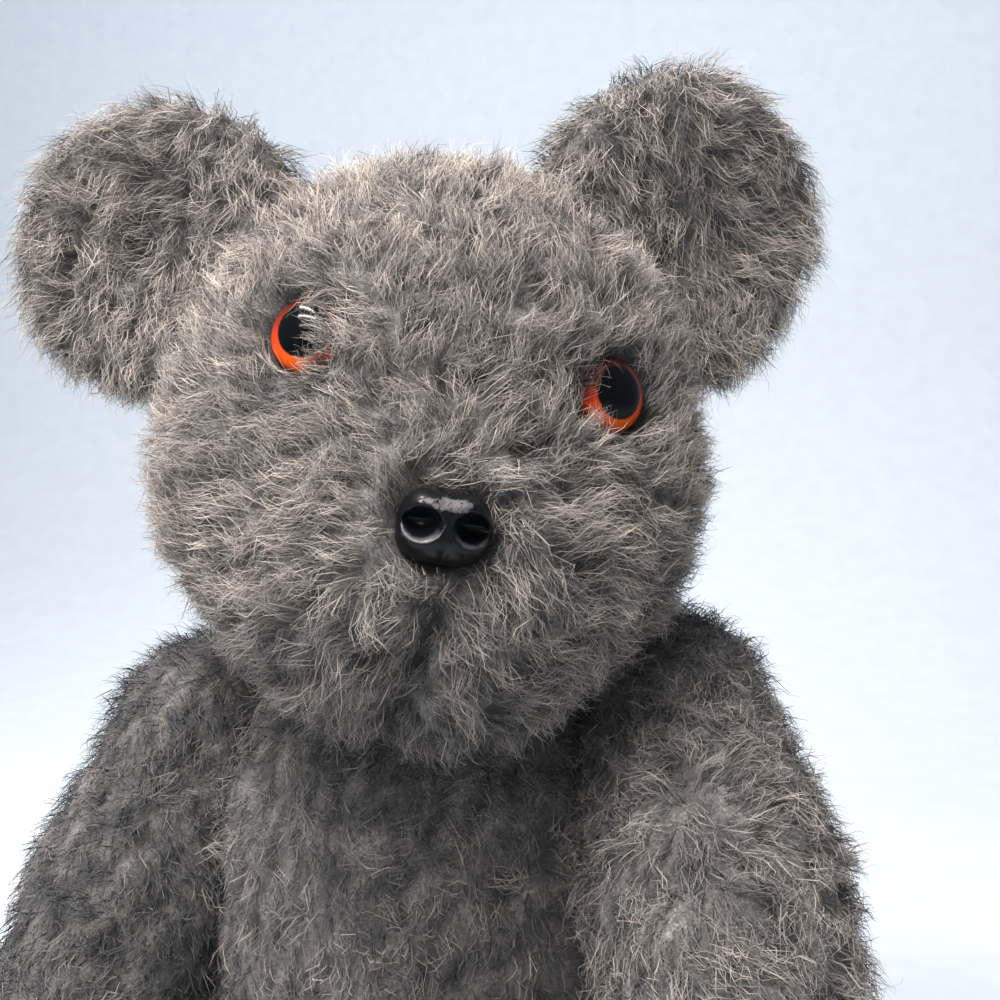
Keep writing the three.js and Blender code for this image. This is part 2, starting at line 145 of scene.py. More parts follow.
class BearFittings(bpy.types.PropertyGroup):
    eye: bpy.props.FloatProperty(
        name="Eye diameter", description="Diameter of each plastic eye",
        default=0.018, min=0.005, max=0.03, unit="LENGTH",
    )
    amber: bpy.props.FloatVectorProperty(
        name="Amber", description="Colour of the eyes' clear plastic",
        default=linear("#FF6A1E")[:3], size=3, min=0, max=1, subtype="COLOR",
    )
    black: bpy.props.FloatVectorProperty(
        name="Black plastic", description="Colour of the moulded nose and pupils",
        default=linear("#07090C")[:3], size=3, min=0, max=1, subtype="COLOR",
    )
    felt: bpy.props.FloatVectorProperty(
        name="Felt", description="Colour of the felt pads",
        default=linear("#77716C")[:3], size=3, min=0, max=1, subtype="COLOR",
    )


# ---- small helpers ----


def rgba(colour):
    return (*colour, 1.0)


def deselect():
    for one in bpy.context.selected_objects:
        one.select_set(False)


def only(piece):
    deselect()
    piece.select_set(True)
    bpy.context.view_layer.objects.active = piece


def apply_all(piece):
    only(piece)
    for modifier in list(piece.modifiers):
        bpy.ops.object.modifier_apply(modifier=modifier.name)


def points_of(mesh):
    found = np.empty(len(mesh.vertices) * 3, np.float32)
    mesh.vertices.foreach_get("co", found)
    return found.reshape(-1, 3).astype(float)


def put_points(mesh, points):
    mesh.vertices.foreach_set("co", np.ascontiguousarray(points, np.float32).ravel())
    mesh.update()


def mark(mesh, name, values):
    """Stores a value for each point, for the material to read."""
    made = mesh.attributes.new(name, "FLOAT", "POINT")
    made.data.foreach_set("value", values.astype(np.float32))


def normals_of(mesh):
    found = np.empty(len(mesh.vertices) * 3, np.float32)
    mesh.vertex_normals.foreach_get("vector", found)
    return found.reshape(-1, 3).astype(float)


def unit(v):
    return v / np.maximum(np.linalg.norm(v, axis=-1, keepdims=True), 1e-12)


def along(a, b):
    return (a * b).sum(-1, keepdims=True)


def ripple(points, size, seed):
    """Smooth noise from -1 to 1 over the points, with swells about that size apart."""
    rng = np.random.default_rng(seed)
    made = np.zeros(len(points))
    for _ in range(7):
        way = unit(rng.normal(size=3)) * 2 * math.pi / (size * rng.uniform(0.7, 1.5))
        made += np.sin(points @ way + rng.uniform(0, 2 * math.pi))
    return made / 3.2


def copy_of(node, name):
    """A merged copy of a CAD node's mesh, as a new piece."""
    piece = FRAME["nodes"][node].copy()
    piece.data = piece.data.copy()
    piece.name = name
    piece.data.name = name
    for key in [k for k in piece.keys() if k.startswith("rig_")]:
        del piece[key]
    piece.parent = None
    bpy.context.scene.collection.objects.link(piece)
    piece.data.materials.clear()
    only(piece)
    bpy.ops.object.mode_set(mode="EDIT")
    bpy.ops.mesh.select_all(action="SELECT")
    bpy.ops.mesh.remove_doubles(threshold=0.00001)
    bpy.ops.object.mode_set(mode="OBJECT")
    return piece


def feed(tree, node, inputs):
    """Sets a node's inputs, each to a value, a socket or another node's first output."""
    for key, value in inputs.items():
        if isinstance(value, bpy.types.Node):
            value = value.outputs[0]
        if isinstance(value, bpy.types.NodeSocket):
            tree.links.new(value, node.inputs[key])
        else:
            node.inputs[key].default_value = value


def add_node(tree, kind, inputs=None, stops=(), **settings):
    """Adds a node with its settings, its inputs and, on a ramp, its (place, colour) stops."""
    made = tree.nodes.new(kind)
    for key, value in settings.items():
        setattr(made, key, value)
    feed(tree, made, inputs or {})
    if stops:
        points = made.color_ramp.elements
        points[0].position, points[0].color = stops[0]
        points[1].position, points[1].color = stops[-1]
        for place, colour in stops[1:-1]:
            points.new(place).color = colour
    return made


def new_material(name, shader_inputs):
    """A material with one Principled shader set to those values, and its node tree."""
    made = bpy.data.materials.new(name)
    made.use_nodes = True
    tree = made.node_tree
    tree.nodes.clear()
    shader = add_node(tree, "ShaderNodeBsdfPrincipled", shader_inputs)
    add_node(tree, "ShaderNodeOutputMaterial", {"Surface": shader})
    return made, tree, shader


def grey(value):
    return (value, value, value, 1.0)


BLACK, WHITE = grey(0.0), grey(1.0)


# ---- materials: the scale of a pattern is one over the size of its cells in metres ----


def curly_pile(pile):
    """Wool and mohair pile, spun, woven in and brushed: matt, soft at its edges, dark at the
    roots, with kept dye and painted shade deep in the pile, and faded at the tips. The map's u is each
    fibre's shade, its own tone with the painted light and shade of its place, and v runs root to tip."""
    made, tree, shader = new_material(
        "curly_wool_pile",
        {"Roughness": 0.78, "Sheen Weight": 0.18, "Sheen Roughness": 0.5, "Specular IOR Level": 0.25},
    )
    chart = add_node(tree, "ShaderNodeUVMap", uv_map="OFBake")
    parts = add_node(tree, "ShaderNodeSeparateXYZ", {"Vector": chart})
    root, tip = rgba(pile.root), rgba(pile.tip)
    middle = tuple(r + (t - r) * 0.42 for r, t in zip(root, tip))
    lie = [(0.0, root), (0.38, middle), (0.85, tip)]
    along_fibre = add_node(tree, "ShaderNodeValToRGB", {"Fac": parts.outputs["Y"]}, stops=lie)
    # from fibres still full of dye, past the usual grey, to the palest bleached ones. The low end also
    # carries painted shade, and its bluish darkest stop paints the cool tint of shaded places such as
    # under the chin
    dye = [
        (0.0, linear("#4F555F")),
        (0.35, linear("#A09FA1")),
        (0.65, linear("#D6D1CC")),
        (1.0, linear("#FFFAF4")),
    ]
    shade = add_node(tree, "ShaderNodeValToRGB", {"Fac": parts.outputs["X"]}, stops=dye)
    mixed = {"Fac": 1.0, "Color1": along_fibre, "Color2": shade}
    colour = add_node(tree, "ShaderNodeMixRGB", mixed, blend_type="MULTIPLY")
    feed(tree, shader, {"Base Color": colour})
    return made


def matted_underwool():
    """The short matted wool that fills the pile down to its knitted cotton back: matt and frizzy,
    with painted shade darkening its hollows. Single fibres are too fine to show, so they are drawn 0.6
    mm wide."""
    made, tree, shader = new_material(
        "matted_wool_underpile", {"Roughness": 0.85, "Sheen Weight": 0.2, "Sheen Roughness": 0.5}
    )
    place = add_node(tree, "ShaderNodeTexCoord").outputs["Object"]
    tangle = {"Vector": place, "Scale": 1 / 0.0013, "Detail": 7.0, "Roughness": 0.72, "Distortion": 1.6}
    frizz = add_node(tree, "ShaderNodeTexNoise", tangle)
    wide = {"Vector": place, "Scale": 1 / 0.028, "Detail": 2.0, "Roughness": 0.55}
    patches = add_node(tree, "ShaderNodeTexNoise", wide)
    lift = add_node(tree, "ShaderNodeAttribute", attribute_name="lift").outputs["Fac"]
    tones = [
        (0.30, linear("#38383D")),
        (0.46, linear("#716F6F")),
        (0.58, linear("#A5A09C")),
        (0.72, linear("#D0C9C3")),
    ]
    colour = add_node(tree, "ShaderNodeValToRGB", {"Fac": frizz}, stops=tones)
    # painted shade: the lift attribute darkens the underwool in its hollows, round the eyes, nose and
    # folds, and on the pieces that lie in shade
    deep = [(0.05, linear("#5A5A60")), (0.75, linear("#F4F2F0"))]
    worn = [(0.35, linear("#D2D2D6")), (0.7, linear("#FFFFFF"))]
    for factor, stops in ((lift, deep), (patches, worn)):
        tint = add_node(tree, "ShaderNodeValToRGB", {"Fac": factor}, stops=stops)
        mixed = {"Fac": 1.0, "Color1": colour, "Color2": tint}
        colour = add_node(tree, "ShaderNodeMixRGB", mixed, blend_type="MULTIPLY")
    relief = add_node(tree, "ShaderNodeBump", {"Height": frizz, "Distance": 0.0011, "Strength": 1.0})
    feed(tree, shader, {"Base Color": colour, "Normal": relief})
    return made


def wool_felt(fittings):
    """Pressed wool felt: matt, with a faint tangle of 1 mm clumps and rubbed paler patches."""
    made, tree, shader = new_material(
        "pressed_wool_felt", {"Roughness": 0.92, "Sheen Weight": 0.3, "Sheen Roughness": 0.5}
    )
    place = add_node(tree, "ShaderNodeTexCoord").outputs["Object"]
    fine = {"Vector": place, "Scale": 1 / 0.0011, "Detail": 6.0, "Roughness": 0.7}
    tangle = add_node(tree, "ShaderNodeTexNoise", fine)
    wide = {"Vector": place, "Scale": 1 / 0.012, "Detail": 2.0, "Roughness": 0.55}
    rubbed = add_node(tree, "ShaderNodeTexNoise", wide)
    felt = rgba(fittings.felt)
    dark = tuple(c * 0.62 for c in felt[:3]) + (1.0,)
    pale = tuple(min(1.0, c * 1.35) for c in felt[:3]) + (1.0,)
    tones = [(0.3, dark), (0.52, felt), (0.75, pale)]
    base = add_node(tree, "ShaderNodeValToRGB", {"Fac": tangle}, stops=tones)
    fading = [(0.4, linear("#C8C4C0")), (0.66, linear("#FFFFFF"))]
    wear = add_node(tree, "ShaderNodeValToRGB", {"Fac": rubbed}, stops=fading)
    mixed = {"Fac": 1.0, "Color1": base, "Color2": wear}
    colour = add_node(tree, "ShaderNodeMixRGB", mixed, blend_type="MULTIPLY")
    relief = add_node(tree, "ShaderNodeBump", {"Height": tangle, "Distance": 0.0004, "Strength": 0.8})
    feed(tree, shader, {"Base Color": colour, "Normal": relief})
    return made


def cast_eye(fittings):
    """Cast acrylic eye, polished, with an amber ring round a black pupil. The light that gathers low in
    the ring is painted into its colour, so the amber is bright orange at the bottom and deep red-brown
    at the top."""
    made, tree, shader = new_material(
        "cast_amber_acrylic",
        {
            "Roughness": 0.12,
            "IOR": 1.49,
            "Specular IOR Level": 0.10,
            "Coat Weight": 0.12,
            "Coat Roughness": 0.03,
        },
    )
    out = add_node(tree, "ShaderNodeAttribute", attribute_name="from_middle").outputs["Fac"]
    low = add_node(tree, "ShaderNodeAttribute", attribute_name="lowness").outputs["Fac"]
    place = add_node(tree, "ShaderNodeTexCoord").outputs["Object"]
    streak = {"Vector": place, "Scale": 1 / 0.0022, "Detail": 3.0, "Roughness": 0.55}
    cloud = add_node(tree, "ShaderNodeTexNoise", streak)
    drift = add_node(tree, "ShaderNodeMath", {0: cloud, 1: 0.16, 2: low}, operation="MULTIPLY_ADD")
    depths = [
        (0.12, linear("#300D0A")),
        (0.40, linear("#7A2416")),
        (0.62, linear("#CC401A")),
        (0.90, rgba(fittings.amber)),
    ]
    glow = add_node(tree, "ShaderNodeValToRGB", {"Fac": drift}, stops=depths)
    pupil_edge = [(0.64, BLACK), (0.69, WHITE)]
    edge = add_node(tree, "ShaderNodeValToRGB", {"Fac": out}, stops=pupil_edge)
    outer_edge = [(0.90, WHITE), (1.0, (0.30, 0.2, 0.2, 1))]
    rim = add_node(tree, "ShaderNodeValToRGB", {"Fac": out}, stops=outer_edge)
    mixed = {"Fac": 1.0, "Color1": glow, "Color2": rim}
    ring = add_node(tree, "ShaderNodeMixRGB", mixed, blend_type="MULTIPLY")
    whole = {"Fac": edge, "Color1": rgba(fittings.black), "Color2": ring}
    colour = add_node(tree, "ShaderNodeMixRGB", whole)
    fine = {"Vector": place, "Scale": 1 / 0.0009, "Detail": 4.0, "Roughness": 0.7}
    marks = add_node(tree, "ShaderNodeTexNoise", fine)
    relief = add_node(tree, "ShaderNodeBump", {"Height": marks, "Distance": 0.00002, "Strength": 0.3})
    feed(tree, shader, {"Base Color": colour, "Normal": relief})
    return made


GLOSSY_BLACK = {
    "Roughness": 0.24,
    "IOR": 1.46,
    "Specular IOR Level": 0.18,
    "Coat Weight": 0.12,
    "Coat Roughness": 0.06,
}


def black_eye_moulding(fittings):
    """Injection-moulded black plastic, glossy from a polished mould, with a faint bloom."""
    base = {"Base Color": rgba(fittings.black)}
    made, tree, shader = new_material("black_eye_moulding", base | GLOSSY_BLACK)
    place = add_node(tree, "ShaderNodeTexCoord").outputs["Object"]
    fine = {"Vector": place, "Scale": 1 / 0.0016, "Detail": 4.0, "Roughness": 0.55}
    dust = add_node(tree, "ShaderNodeTexNoise", fine)
    dull = [(0.3, grey(0.1)), (0.8, grey(0.26))]
    rough = add_node(tree, "ShaderNodeValToRGB", {"Fac": dust}, stops=dull)
    feed(tree, shader, {"Roughness": rough})
    return made


def worn_black_moulding(fittings):
    """Injection-moulded black plastic, glossy from a polished mould. Where it is rubbed, the gloss
    is scuffed off in 1 to 3 mm chips that show greyer and rougher, and the low rims of the
    nostrils are greyer and rougher, with dust and a painted sheen where light from above catches them."""
    base = {"Base Color": rgba(fittings.black)}
    made, tree, shader = new_material("worn_black_moulding", base | GLOSSY_BLACK)
    place = add_node(tree, "ShaderNodeTexCoord").outputs["Object"]
    wear = add_node(tree, "ShaderNodeAttribute", attribute_name="rubbed").outputs["Fac"]
    dust = add_node(tree, "ShaderNodeAttribute", attribute_name="dust_and_sheen").outputs["Fac"]
    coarse = {"Vector": place, "Scale": 1 / 0.0021, "Detail": 6.0, "Roughness": 0.62}
    flakes = add_node(tree, "ShaderNodeTexNoise", coarse)
    edge = add_node(tree, "ShaderNodeMath", {0: wear, 1: flakes}, operation="MULTIPLY")
    chip_edge = [(0.30, BLACK), (0.36, WHITE)]
    chips = add_node(tree, "ShaderNodeValToRGB", {"Fac": edge}, stops=chip_edge)
    # the nostrils' low rims are painted greyer: a painted sheen, with dust
    dust_sheen_flakes = add_node(tree, "ShaderNodeMath", {0: dust, 1: flakes}, operation="MULTIPLY")
    dust_and_sheen_fac = add_node(tree, "ShaderNodeValToRGB", {"Fac": dust_sheen_flakes}, stops=[(0.18, BLACK), (0.52, WHITE)])
    scuffed = {"Fac": chips, "Color1": rgba(fittings.black), "Color2": linear("#5A565A")}
    colour = add_node(tree, "ShaderNodeMixRGB", scuffed)
    dusted_and_sheened = {"Fac": dust_and_sheen_fac, "Color1": colour, "Color2": linear("#3E3D42")}
    greyed = add_node(tree, "ShaderNodeMixRGB", dusted_and_sheened)
    dulled = add_node(tree, "ShaderNodeMath", {0: dust_and_sheen_fac, 1: 0.9, 2: edge}, operation="MULTIPLY_ADD")
    dull = [(0.0, grey(0.34)), (0.4, grey(0.4)), (1.0, grey(0.62))]
    rough = add_node(tree, "ShaderNodeValToRGB", {"Fac": dulled}, stops=dull)
    fine = {"Vector": place, "Scale": 1 / 0.0007, "Detail": 4.0, "Roughness": 0.6}
    pits = add_node(tree, "ShaderNodeTexNoise", fine)
    height = add_node(tree, "ShaderNodeMath", {0: chips, 1: pits}, operation="MULTIPLY")
    relief = add_node(tree, "ShaderNodeBump", {"Height": height, "Distance": 0.00035, "Strength": 0.9})
    feed(tree, shader, {"Base Color": greyed, "Roughness": rough, "Normal": relief})
    return made


def pressed_hardboard():
    """Pressed wood-fibre board, sawn into discs: matt brown with a 1 mm fibre fleck."""
    made, tree, shader = new_material("pressed_hardboard", {"Roughness": 0.72})
    place = add_node(tree, "ShaderNodeTexCoord").outputs["Object"]
    fine = {"Vector": place, "Scale": 1 / 0.0011, "Detail": 5.0, "Roughness": 0.7}
    fleck = add_node(tree, "ShaderNodeTexNoise", fine)
    tones = [(0.3, linear("#4E3521")), (0.55, linear("#7C5A3A")), (0.8, linear("#9C7A55"))]
    colour = add_node(tree, "ShaderNodeValToRGB", {"Fac": fleck}, stops=tones)
    relief = add_node(tree, "ShaderNodeBump", {"Height": fleck, "Distance": 0.00012, "Strength": 0.7})
    feed(tree, shader, {"Base Color": colour, "Normal": relief})
    return made


def zinc_steel():
    """Zinc-plated steel, stamped: bright grey metal with a dull 3 mm bloom of tarnish."""
    made, tree, shader = new_material("zinc_plated_steel", {"Metallic": 1.0, "Roughness": 0.35})
    place = add_node(tree, "ShaderNodeTexCoord").outputs["Object"]
    wide = {"Vector": place, "Scale": 1 / 0.003, "Detail": 4.0, "Roughness": 0.55}
    bloom = add_node(tree, "ShaderNodeTexNoise", wide)
    tones = [(0.3, linear("#8C8F92")), (0.7, linear("#C6C8C9"))]
    colour = add_node(tree, "ShaderNodeValToRGB", {"Fac": bloom}, stops=tones)
    dull = [(0.3, grey(0.5)), (0.7, grey(0.26))]
    rough = add_node(tree, "ShaderNodeValToRGB", {"Fac": bloom}, stops=dull)
    feed(tree, shader, {"Base Color": colour, "Roughness": rough})
    return made


# ---- the stuffed skins ----

# per skin: the size of its faces, how far the underwool stands off the cloth, its seed, and how
# pale it is, from 0 to 1: painted light, with the pieces that lie in shade painted darker
SKINS = {
    "body": (0.0030, 0.0026, 34, 0.78),
    "head": (0.0021, 0.0032, 31, 1.0),
    "ear_left": (0.0020, 0.0030, 32, 1.0),
    "ear_right": (0.0020, 0.0026, 33, 1.0),
    "arm_left": (0.0024, 0.0028, 35, 0.82),
    "arm_right": (0.0028, 0.0026, 36, 0.58),
    "leg_left": (0.0034, 0.0022, 37, 0.85),
    "leg_right": (0.0034, 0.0022, 38, 0.85),
}


# how far apart the wool's clumps and curls lie, and how much they lift it
CLUMP, CURL, LUMPY = 0.012, 0.0052, 0.42


def stuffed_skin(node, name, voxel, swell, seed, pale=1.0, smooth=5, spare=None):
    """A closed skin over one stuffed CAD node, softened and lumpy with its wool."""
    piece = copy_of(node, name)
    remesh = piece.modifiers.new("even_faces", "REMESH")
    remesh.mode = "VOXEL"
    remesh.voxel_size = voxel
    remesh.use_smooth_shade = True
    soften = piece.modifiers.new("soften", "SMOOTH")
    soften.factor = 0.5
    soften.iterations = smooth
    apply_all(piece)
    mesh = piece.data
    points, out = points_of(mesh), normals_of(mesh)
    lumps = 0.45 * ripple(points, CLUMP, seed) + 0.55 * ripple(points, CURL, seed + 7)
    grown = swell * (1 + LUMPY * lumps)
    if spare is not None:
        grown = grown * spare(points)
    points = points + out * grown[:, None]
    points[:, 2] = np.maximum(points[:, 2], 0.0)
    put_points(mesh, points)
    # painted light and shade: lift is low in the hollows between lumps, where the underwool is spared
    # round the eyes, nose and folds, and on the pieces painted darker by pale
    lift = pale * np.clip(0.5 + 0.5 * lumps, 0, 1) * np.clip(grown / swell, 0, 1)
    mark(mesh, "lift", lift)
    bpy.ops.object.shade_smooth()
    return piece


# ---- where the pile lies and how ----


def head_local(points):
    back = np.array(HEAD_PLACE.inverted())
    return points / MM @ back[:3, :3].T + back[:3, 3]


def from_head(ways):
    return ways @ np.array(HEAD_PLACE)[:3, :3].T


def fitting_frame(node, way):
    """Where a turned fitting stands: its middle on its seat, and its outward direction."""
    mesh = FRAME["nodes"][node].data
    points = points_of(mesh)
    way = unit(np.asarray(way, float))
    side = unit(np.cross(way, (0, 0, 1.0)))
    up = np.cross(side, way)
    spans = [points @ axis for axis in (side, up, way)]
    middle = side * (spans[0].min() + spans[0].max()) / 2 + up * (spans[1].min() + spans[1].max()) / 2
    return middle + way * spans[2].min(), way, spans[2].max() - spans[2].min()


EYE_TURN = 27
# where the pile over each eye begins, on the inner side of its middle, as a share of its radius
EYE_BARE_FROM = {"left": 0.66, "right": 0.10}


def eye_way(side):
    turn = math.radians(EYE_TURN)
    local = unit(np.array([math.sin(turn) * side, -math.cos(turn), 0.06]))
    return from_head(local[None])[0]


EYES = {
    side: fitting_frame(f"eye_{side}_lens", eye_way(1 if side == "left" else -1))
    for side in ("left", "right")
}
NOSE_WIDE = 0.0188
NOSE_HIGH = 0.0152
NOSE_STANDS = 0.0105
NOSE_TIP_UP = math.radians(6)
NOSE_WAY = from_head(np.array([[0, -math.cos(NOSE_TIP_UP), math.sin(NOSE_TIP_UP)]]))[0]
NOSE_UP = from_head(np.array([[0, math.sin(NOSE_TIP_UP), math.cos(NOSE_TIP_UP)]]))[0]
NOSE_SIDE = np.cross(NOSE_UP, NOSE_WAY)


def nose_seat():
    """The middle of the nose where it meets the cloth."""
    points = points_of(FRAME["nodes"]["nose"].data)
    washer = points_of(FRAME["nodes"]["nose_washer"].data).mean(0)
    ahead = (points - washer) @ NOSE_WAY
    return washer + NOSE_WAY * (ahead.max() - NOSE_STANDS)


NOSE_AT = nose_seat()


def toward_nose(seat, way):
    """The direction in an eye's own plane that points to its inner side."""
    inward = unit(np.cross(way, (0, 0, 1.0)))
    return inward if (NOSE_AT - seat) @ inward > 0 else -inward


def in_the_eye(points, seat, way):
    """Points as heights along an eye's axis, offsets across it, and distances from it."""
    gap = points - seat
    ahead = gap @ way
    flat = gap - ahead[..., None] * way
    return ahead, flat, np.linalg.norm(flat, axis=-1)


def in_the_nose(points, rim=0.0):
    """Points as offsets across, up and ahead of the nose, and as shares of its outline."""
    gap = points - NOSE_AT
    across, up, ahead = gap @ NOSE_SIDE, gap @ NOSE_UP, gap @ NOSE_WAY
    share = (across / (NOSE_WIDE / 2 + rim)) ** 2 + (up / (NOSE_HIGH / 2 + rim)) ** 2
    return across, up, ahead, np.sqrt(share)


# the head's seam and folds as (x, z) points in its own millimetres, with width and depth
CHIN_SEAM = (np.array([[-1.0, -36.0], [-3.5, -52.0], [-7.0, -68.0]]), 3.4, 1.0)
BROW_FOLD = (np.array([[-36.0, 1.5], [-18.0, 4.0], [-4.0, 8.0]]), 3.0, 0.55)
CHEEK_FOLD = (np.array([[7.0, -36.0], [12.0, -46.0], [14.0, -58.0]]), 3.0, 0.4)
FOLDS = (CHIN_SEAM, BROW_FOLD, CHEEK_FOLD)


def off_line(flat, line):
    """The vector from the nearest place on a line of points to each point."""
    best = np.full((len(flat), 2), 1e9)
    for a, b in zip(line[:-1], line[1:]):
        share = np.clip((flat - a) @ (b - a) / ((b - a) @ (b - a)), 0, 1)
        gap = flat - (a + share[:, None] * (b - a))
        closer = (gap**2).sum(1) < (best**2).sum(1)
        best[closer] = gap[closer]
    return best


def folded(local, spread=1.0):
    """How deep in a seam or fold each place of the head is, from 0 to 1, and which way is out."""
    depth = np.zeros(len(local))
    way = np.zeros((len(local), 3))
    front = np.clip((-12 - local[:, 1]) / 10, 0, 1)
    for line, width, strength in FOLDS:
        gap = off_line(local[:, [0, 2]], line)
        far = np.linalg.norm(gap, axis=1)
        here = strength * front * np.exp(-((far / (width * spread)) ** 2))
        deeper = here > depth
        depth = np.where(deeper, here, depth)
        out = np.stack([gap[:, 0], np.zeros(len(gap)), gap[:, 1]], 1)
        way = np.where(deeper[:, None], unit(out), way)
    return depth, way


def sparing(points):
    """How much of the underwool grows at each place of the head: less at eyes, nose and folds."""
    share = np.ones(len(points))
    for seat, way, _ in EYES.values():
        ahead, _, radius = in_the_eye(points, seat, way)
        near = np.where(ahead > -0.025, np.clip((radius - 0.0088) / 0.006, 0.06, 1), 1)
        share = np.minimum(share, near)
    _, _, ahead, ring = in_the_nose(points)
    near = np.where(ahead > -0.02, np.clip((ring - 1.0) / 0.5, 0.1, 1), 1)
    share = np.minimum(share, near)
    depth, _ = folded(head_local(points))
    return share * (1 - 0.95 * depth)


def head_comb(points, out):
    """The pile of the head is brushed away from the nose, and down at the back."""
    local = head_local(points)
    way = local - np.array([-2.0, -58.0, -20.0])
    way = unit(way)
    back = np.clip((local[:, 1] - 10) / 40, 0, 1)[:, None]
    way = way * (1 - back) + np.array([0, 0.2, -1.0]) * back
    depth, aside = folded(local, spread=2.4)
    way = way + 1.3 * depth[:, None] * aside
    return from_head(way)


def lashes(side):
    """How the fibres lie that have grown over an eye, and where: a crescent on its inner side."""
    seat, way, _ = EYES[side]
    inward = toward_nose(seat, way)

    def mask(places, ways):
        ahead, flat, radius = in_the_eye(places, seat, way)
        return (radius < 0.0135) & (ahead > -0.02) & (flat @ inward > 0.35 * radius)

    def comb(places, ways):
        return -inward + 0.35 * unit(seat - places)

    return comb, mask


def ear_comb(side):
    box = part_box(f"ear_{side}")
    middle = (np.array(box[0]) + np.array(box[1])) / 2

    def comb(points, out):
        way = unit(points - middle)
        lean = (0.35, 0.0, -1.1) if side == "left" else (-0.6, 0.0, -0.9)
        return 0.75 * way + np.array(lean)

    return comb


def body_comb(points, out):
    return np.array([0.0, 0.0, -1.0]) + 0.25 * out


def arm_comb(side):
    joint = np.array(next(j for j in FRAME["joints"] if j["name"] == f"shoulder_{side}_swing")["pos_m"])
    low, high = (np.array(v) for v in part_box(f"arm_{side}"))
    paw = np.array([(low[0] + high[0]) / 2, low[1] + 0.02, low[2] + 0.02])
    whorl = np.array([paw[0] + 0.002, low[1] + 0.02, 0.142])

    def comb(points, out):
        way = unit(paw - joint)[None] + 0 * points
        if side == "left":
            gap = points - whorl
            near = np.exp(-((np.linalg.norm(gap, axis=1) / 0.026) ** 2))[:, None]
            way = way * (1 - near) + 1.4 * near * unit(gap)
        return way

    return comb


def leg_comb(side):
    joint = np.array(next(j for j in FRAME["joints"] if j["name"] == f"hip_{side}_swing")["pos_m"])
    low, high = (np.array(v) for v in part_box(f"leg_{side}"))
    foot = np.array([(low[0] + high[0]) / 2, low[1] + 0.012, joint[2]])

    def comb(points, out):
        return unit(foot - joint)[None] + np.array([0, 0, -0.25]) + 0 * points

    return comb


def scatter(piece, count, rng):
    """Even random places on a piece's mesh, with the mesh's normals there."""
    mesh = piece.data
    mesh.calc_loop_triangles()
    corners = np.empty(len(mesh.loop_triangles) * 3, np.int32)
    mesh.loop_triangles.foreach_get("vertices", corners)
    corners = corners.reshape(-1, 3)
    points, out = points_of(mesh), normals_of(mesh)
    a, b, c = (points[corners[:, i]] for i in range(3))
    area = np.linalg.norm(np.cross(b - a, c - a), axis=1) / 2
    pick = rng.choice(len(corners), size=count, p=area / area.sum())
    u, v = rng.random(count), rng.random(count)
    fold = u + v > 1
    u[fold], v[fold] = 1 - u[fold], 1 - v[fold]
    w = 1 - u - v
    shares = np.stack([w, u, v], 1)[:, :, None]
    places = (points[corners[pick]] * shares).sum(1)
    normals = unit((out[corners[pick]] * shares).sum(1))
    return places, normals, float(area.sum())


def neighbours(node):
    """The other CAD nodes as one tree, to find where the pile has no room."""
    points, faces = [], []
    for name, other in FRAME["nodes"].items():
        if name == node:
            continue
        start = len(points)
        points += [v.co.copy() for v in other.data.vertices]
        faces += [[start + i for i in f.vertices] for f in other.data.polygons]
    return BVHTree.FromPolygons(points, faces)


def has_room(tree, places, normals, reach=0.005):
    """Whether nothing stands close in front of each place."""
    made = np.ones(len(places), bool)
    for i, (p, n) in enumerate(zip(places, normals)):
        start = Vector(p + n * 0.0004)
        made[i] = tree.ray_cast(start, Vector(n), reach)[0] is None
    return made


def clear_of_fittings(places):
    """Whether a place on the head lies outside the eyes and the nose."""
    keep = np.ones(len(places), bool)
    for seat, way, _ in EYES.values():
        ahead, _, radius = in_the_eye(places, seat, way)
        keep &= (radius > 0.0089) | (np.abs(ahead) > 0.025)
    _, _, ahead, ring = in_the_nose(places)
    keep &= (ring**2 > 0.95) | (np.abs(ahead) > 0.02)
    return keep


def part_round_eyes(paths, roots, rng):
    """Fibres turn aside at an eye's rim, but for those that have grown over its inner side."""
    for side, (seat, way, _) in EYES.items():
        inward = toward_nose(seat, way)
        ahead, flat, radius = in_the_eye(paths, seat, way)
        inside = (radius < 0.0093) & (ahead > -0.004) & (ahead < 0.016)
        crossing = ((roots - seat) @ inward > 0.003)[:, None]
        limit = (EYE_BARE_FROM[side] + 0.20 * rng.normal(size=len(paths)))[:, None] * 0.0090
        short = np.maximum(limit - flat @ inward, 0)
        turned = paths + inward * short[..., None]
        ahead_now, _, radius_now = in_the_eye(turned, seat, way)
        dome = 0.0014 + 0.0060 * np.sqrt(np.clip(1 - (radius_now / 0.0091) ** 2, 0, 1))
        height = dome + np.abs(rng.normal(0, 0.0007, len(paths)))[:, None]
        lifted = turned + way * np.maximum(height - ahead_now, 0)[..., None]
        pushed = seat + ahead[..., None] * way + unit(flat) * 0.0094
        paths = np.where((inside & crossing)[..., None], lifted, paths)
        paths = np.where((inside & ~crossing)[..., None], pushed, paths)
    return paths


def part_round_nose(paths):
    """No fibre runs through the nose: it bends round the moulding's edge."""
    across, up, ahead, ring = in_the_nose(paths, rim=0.0006)
    inside = (ring < 1) & (ahead > -0.003) & (ahead < 0.016)
    grow = (1 / np.maximum(ring, 0.2) - 1)[..., None]
    flat = across[..., None] * NOSE_SIDE + up[..., None] * NOSE_UP
    return np.where(inside[..., None], paths + flat * grow, paths)


# how far a lock's curl swings sideways, how deep roots sit, the darkest and palest shades of a
# fibre, and the steps that a lean is summed in
MOST_CURL = 0.0015
ROOT_DEPTH = 0.0004
SHADES = (0.02, 0.98)
LEAN_STEPS = 25


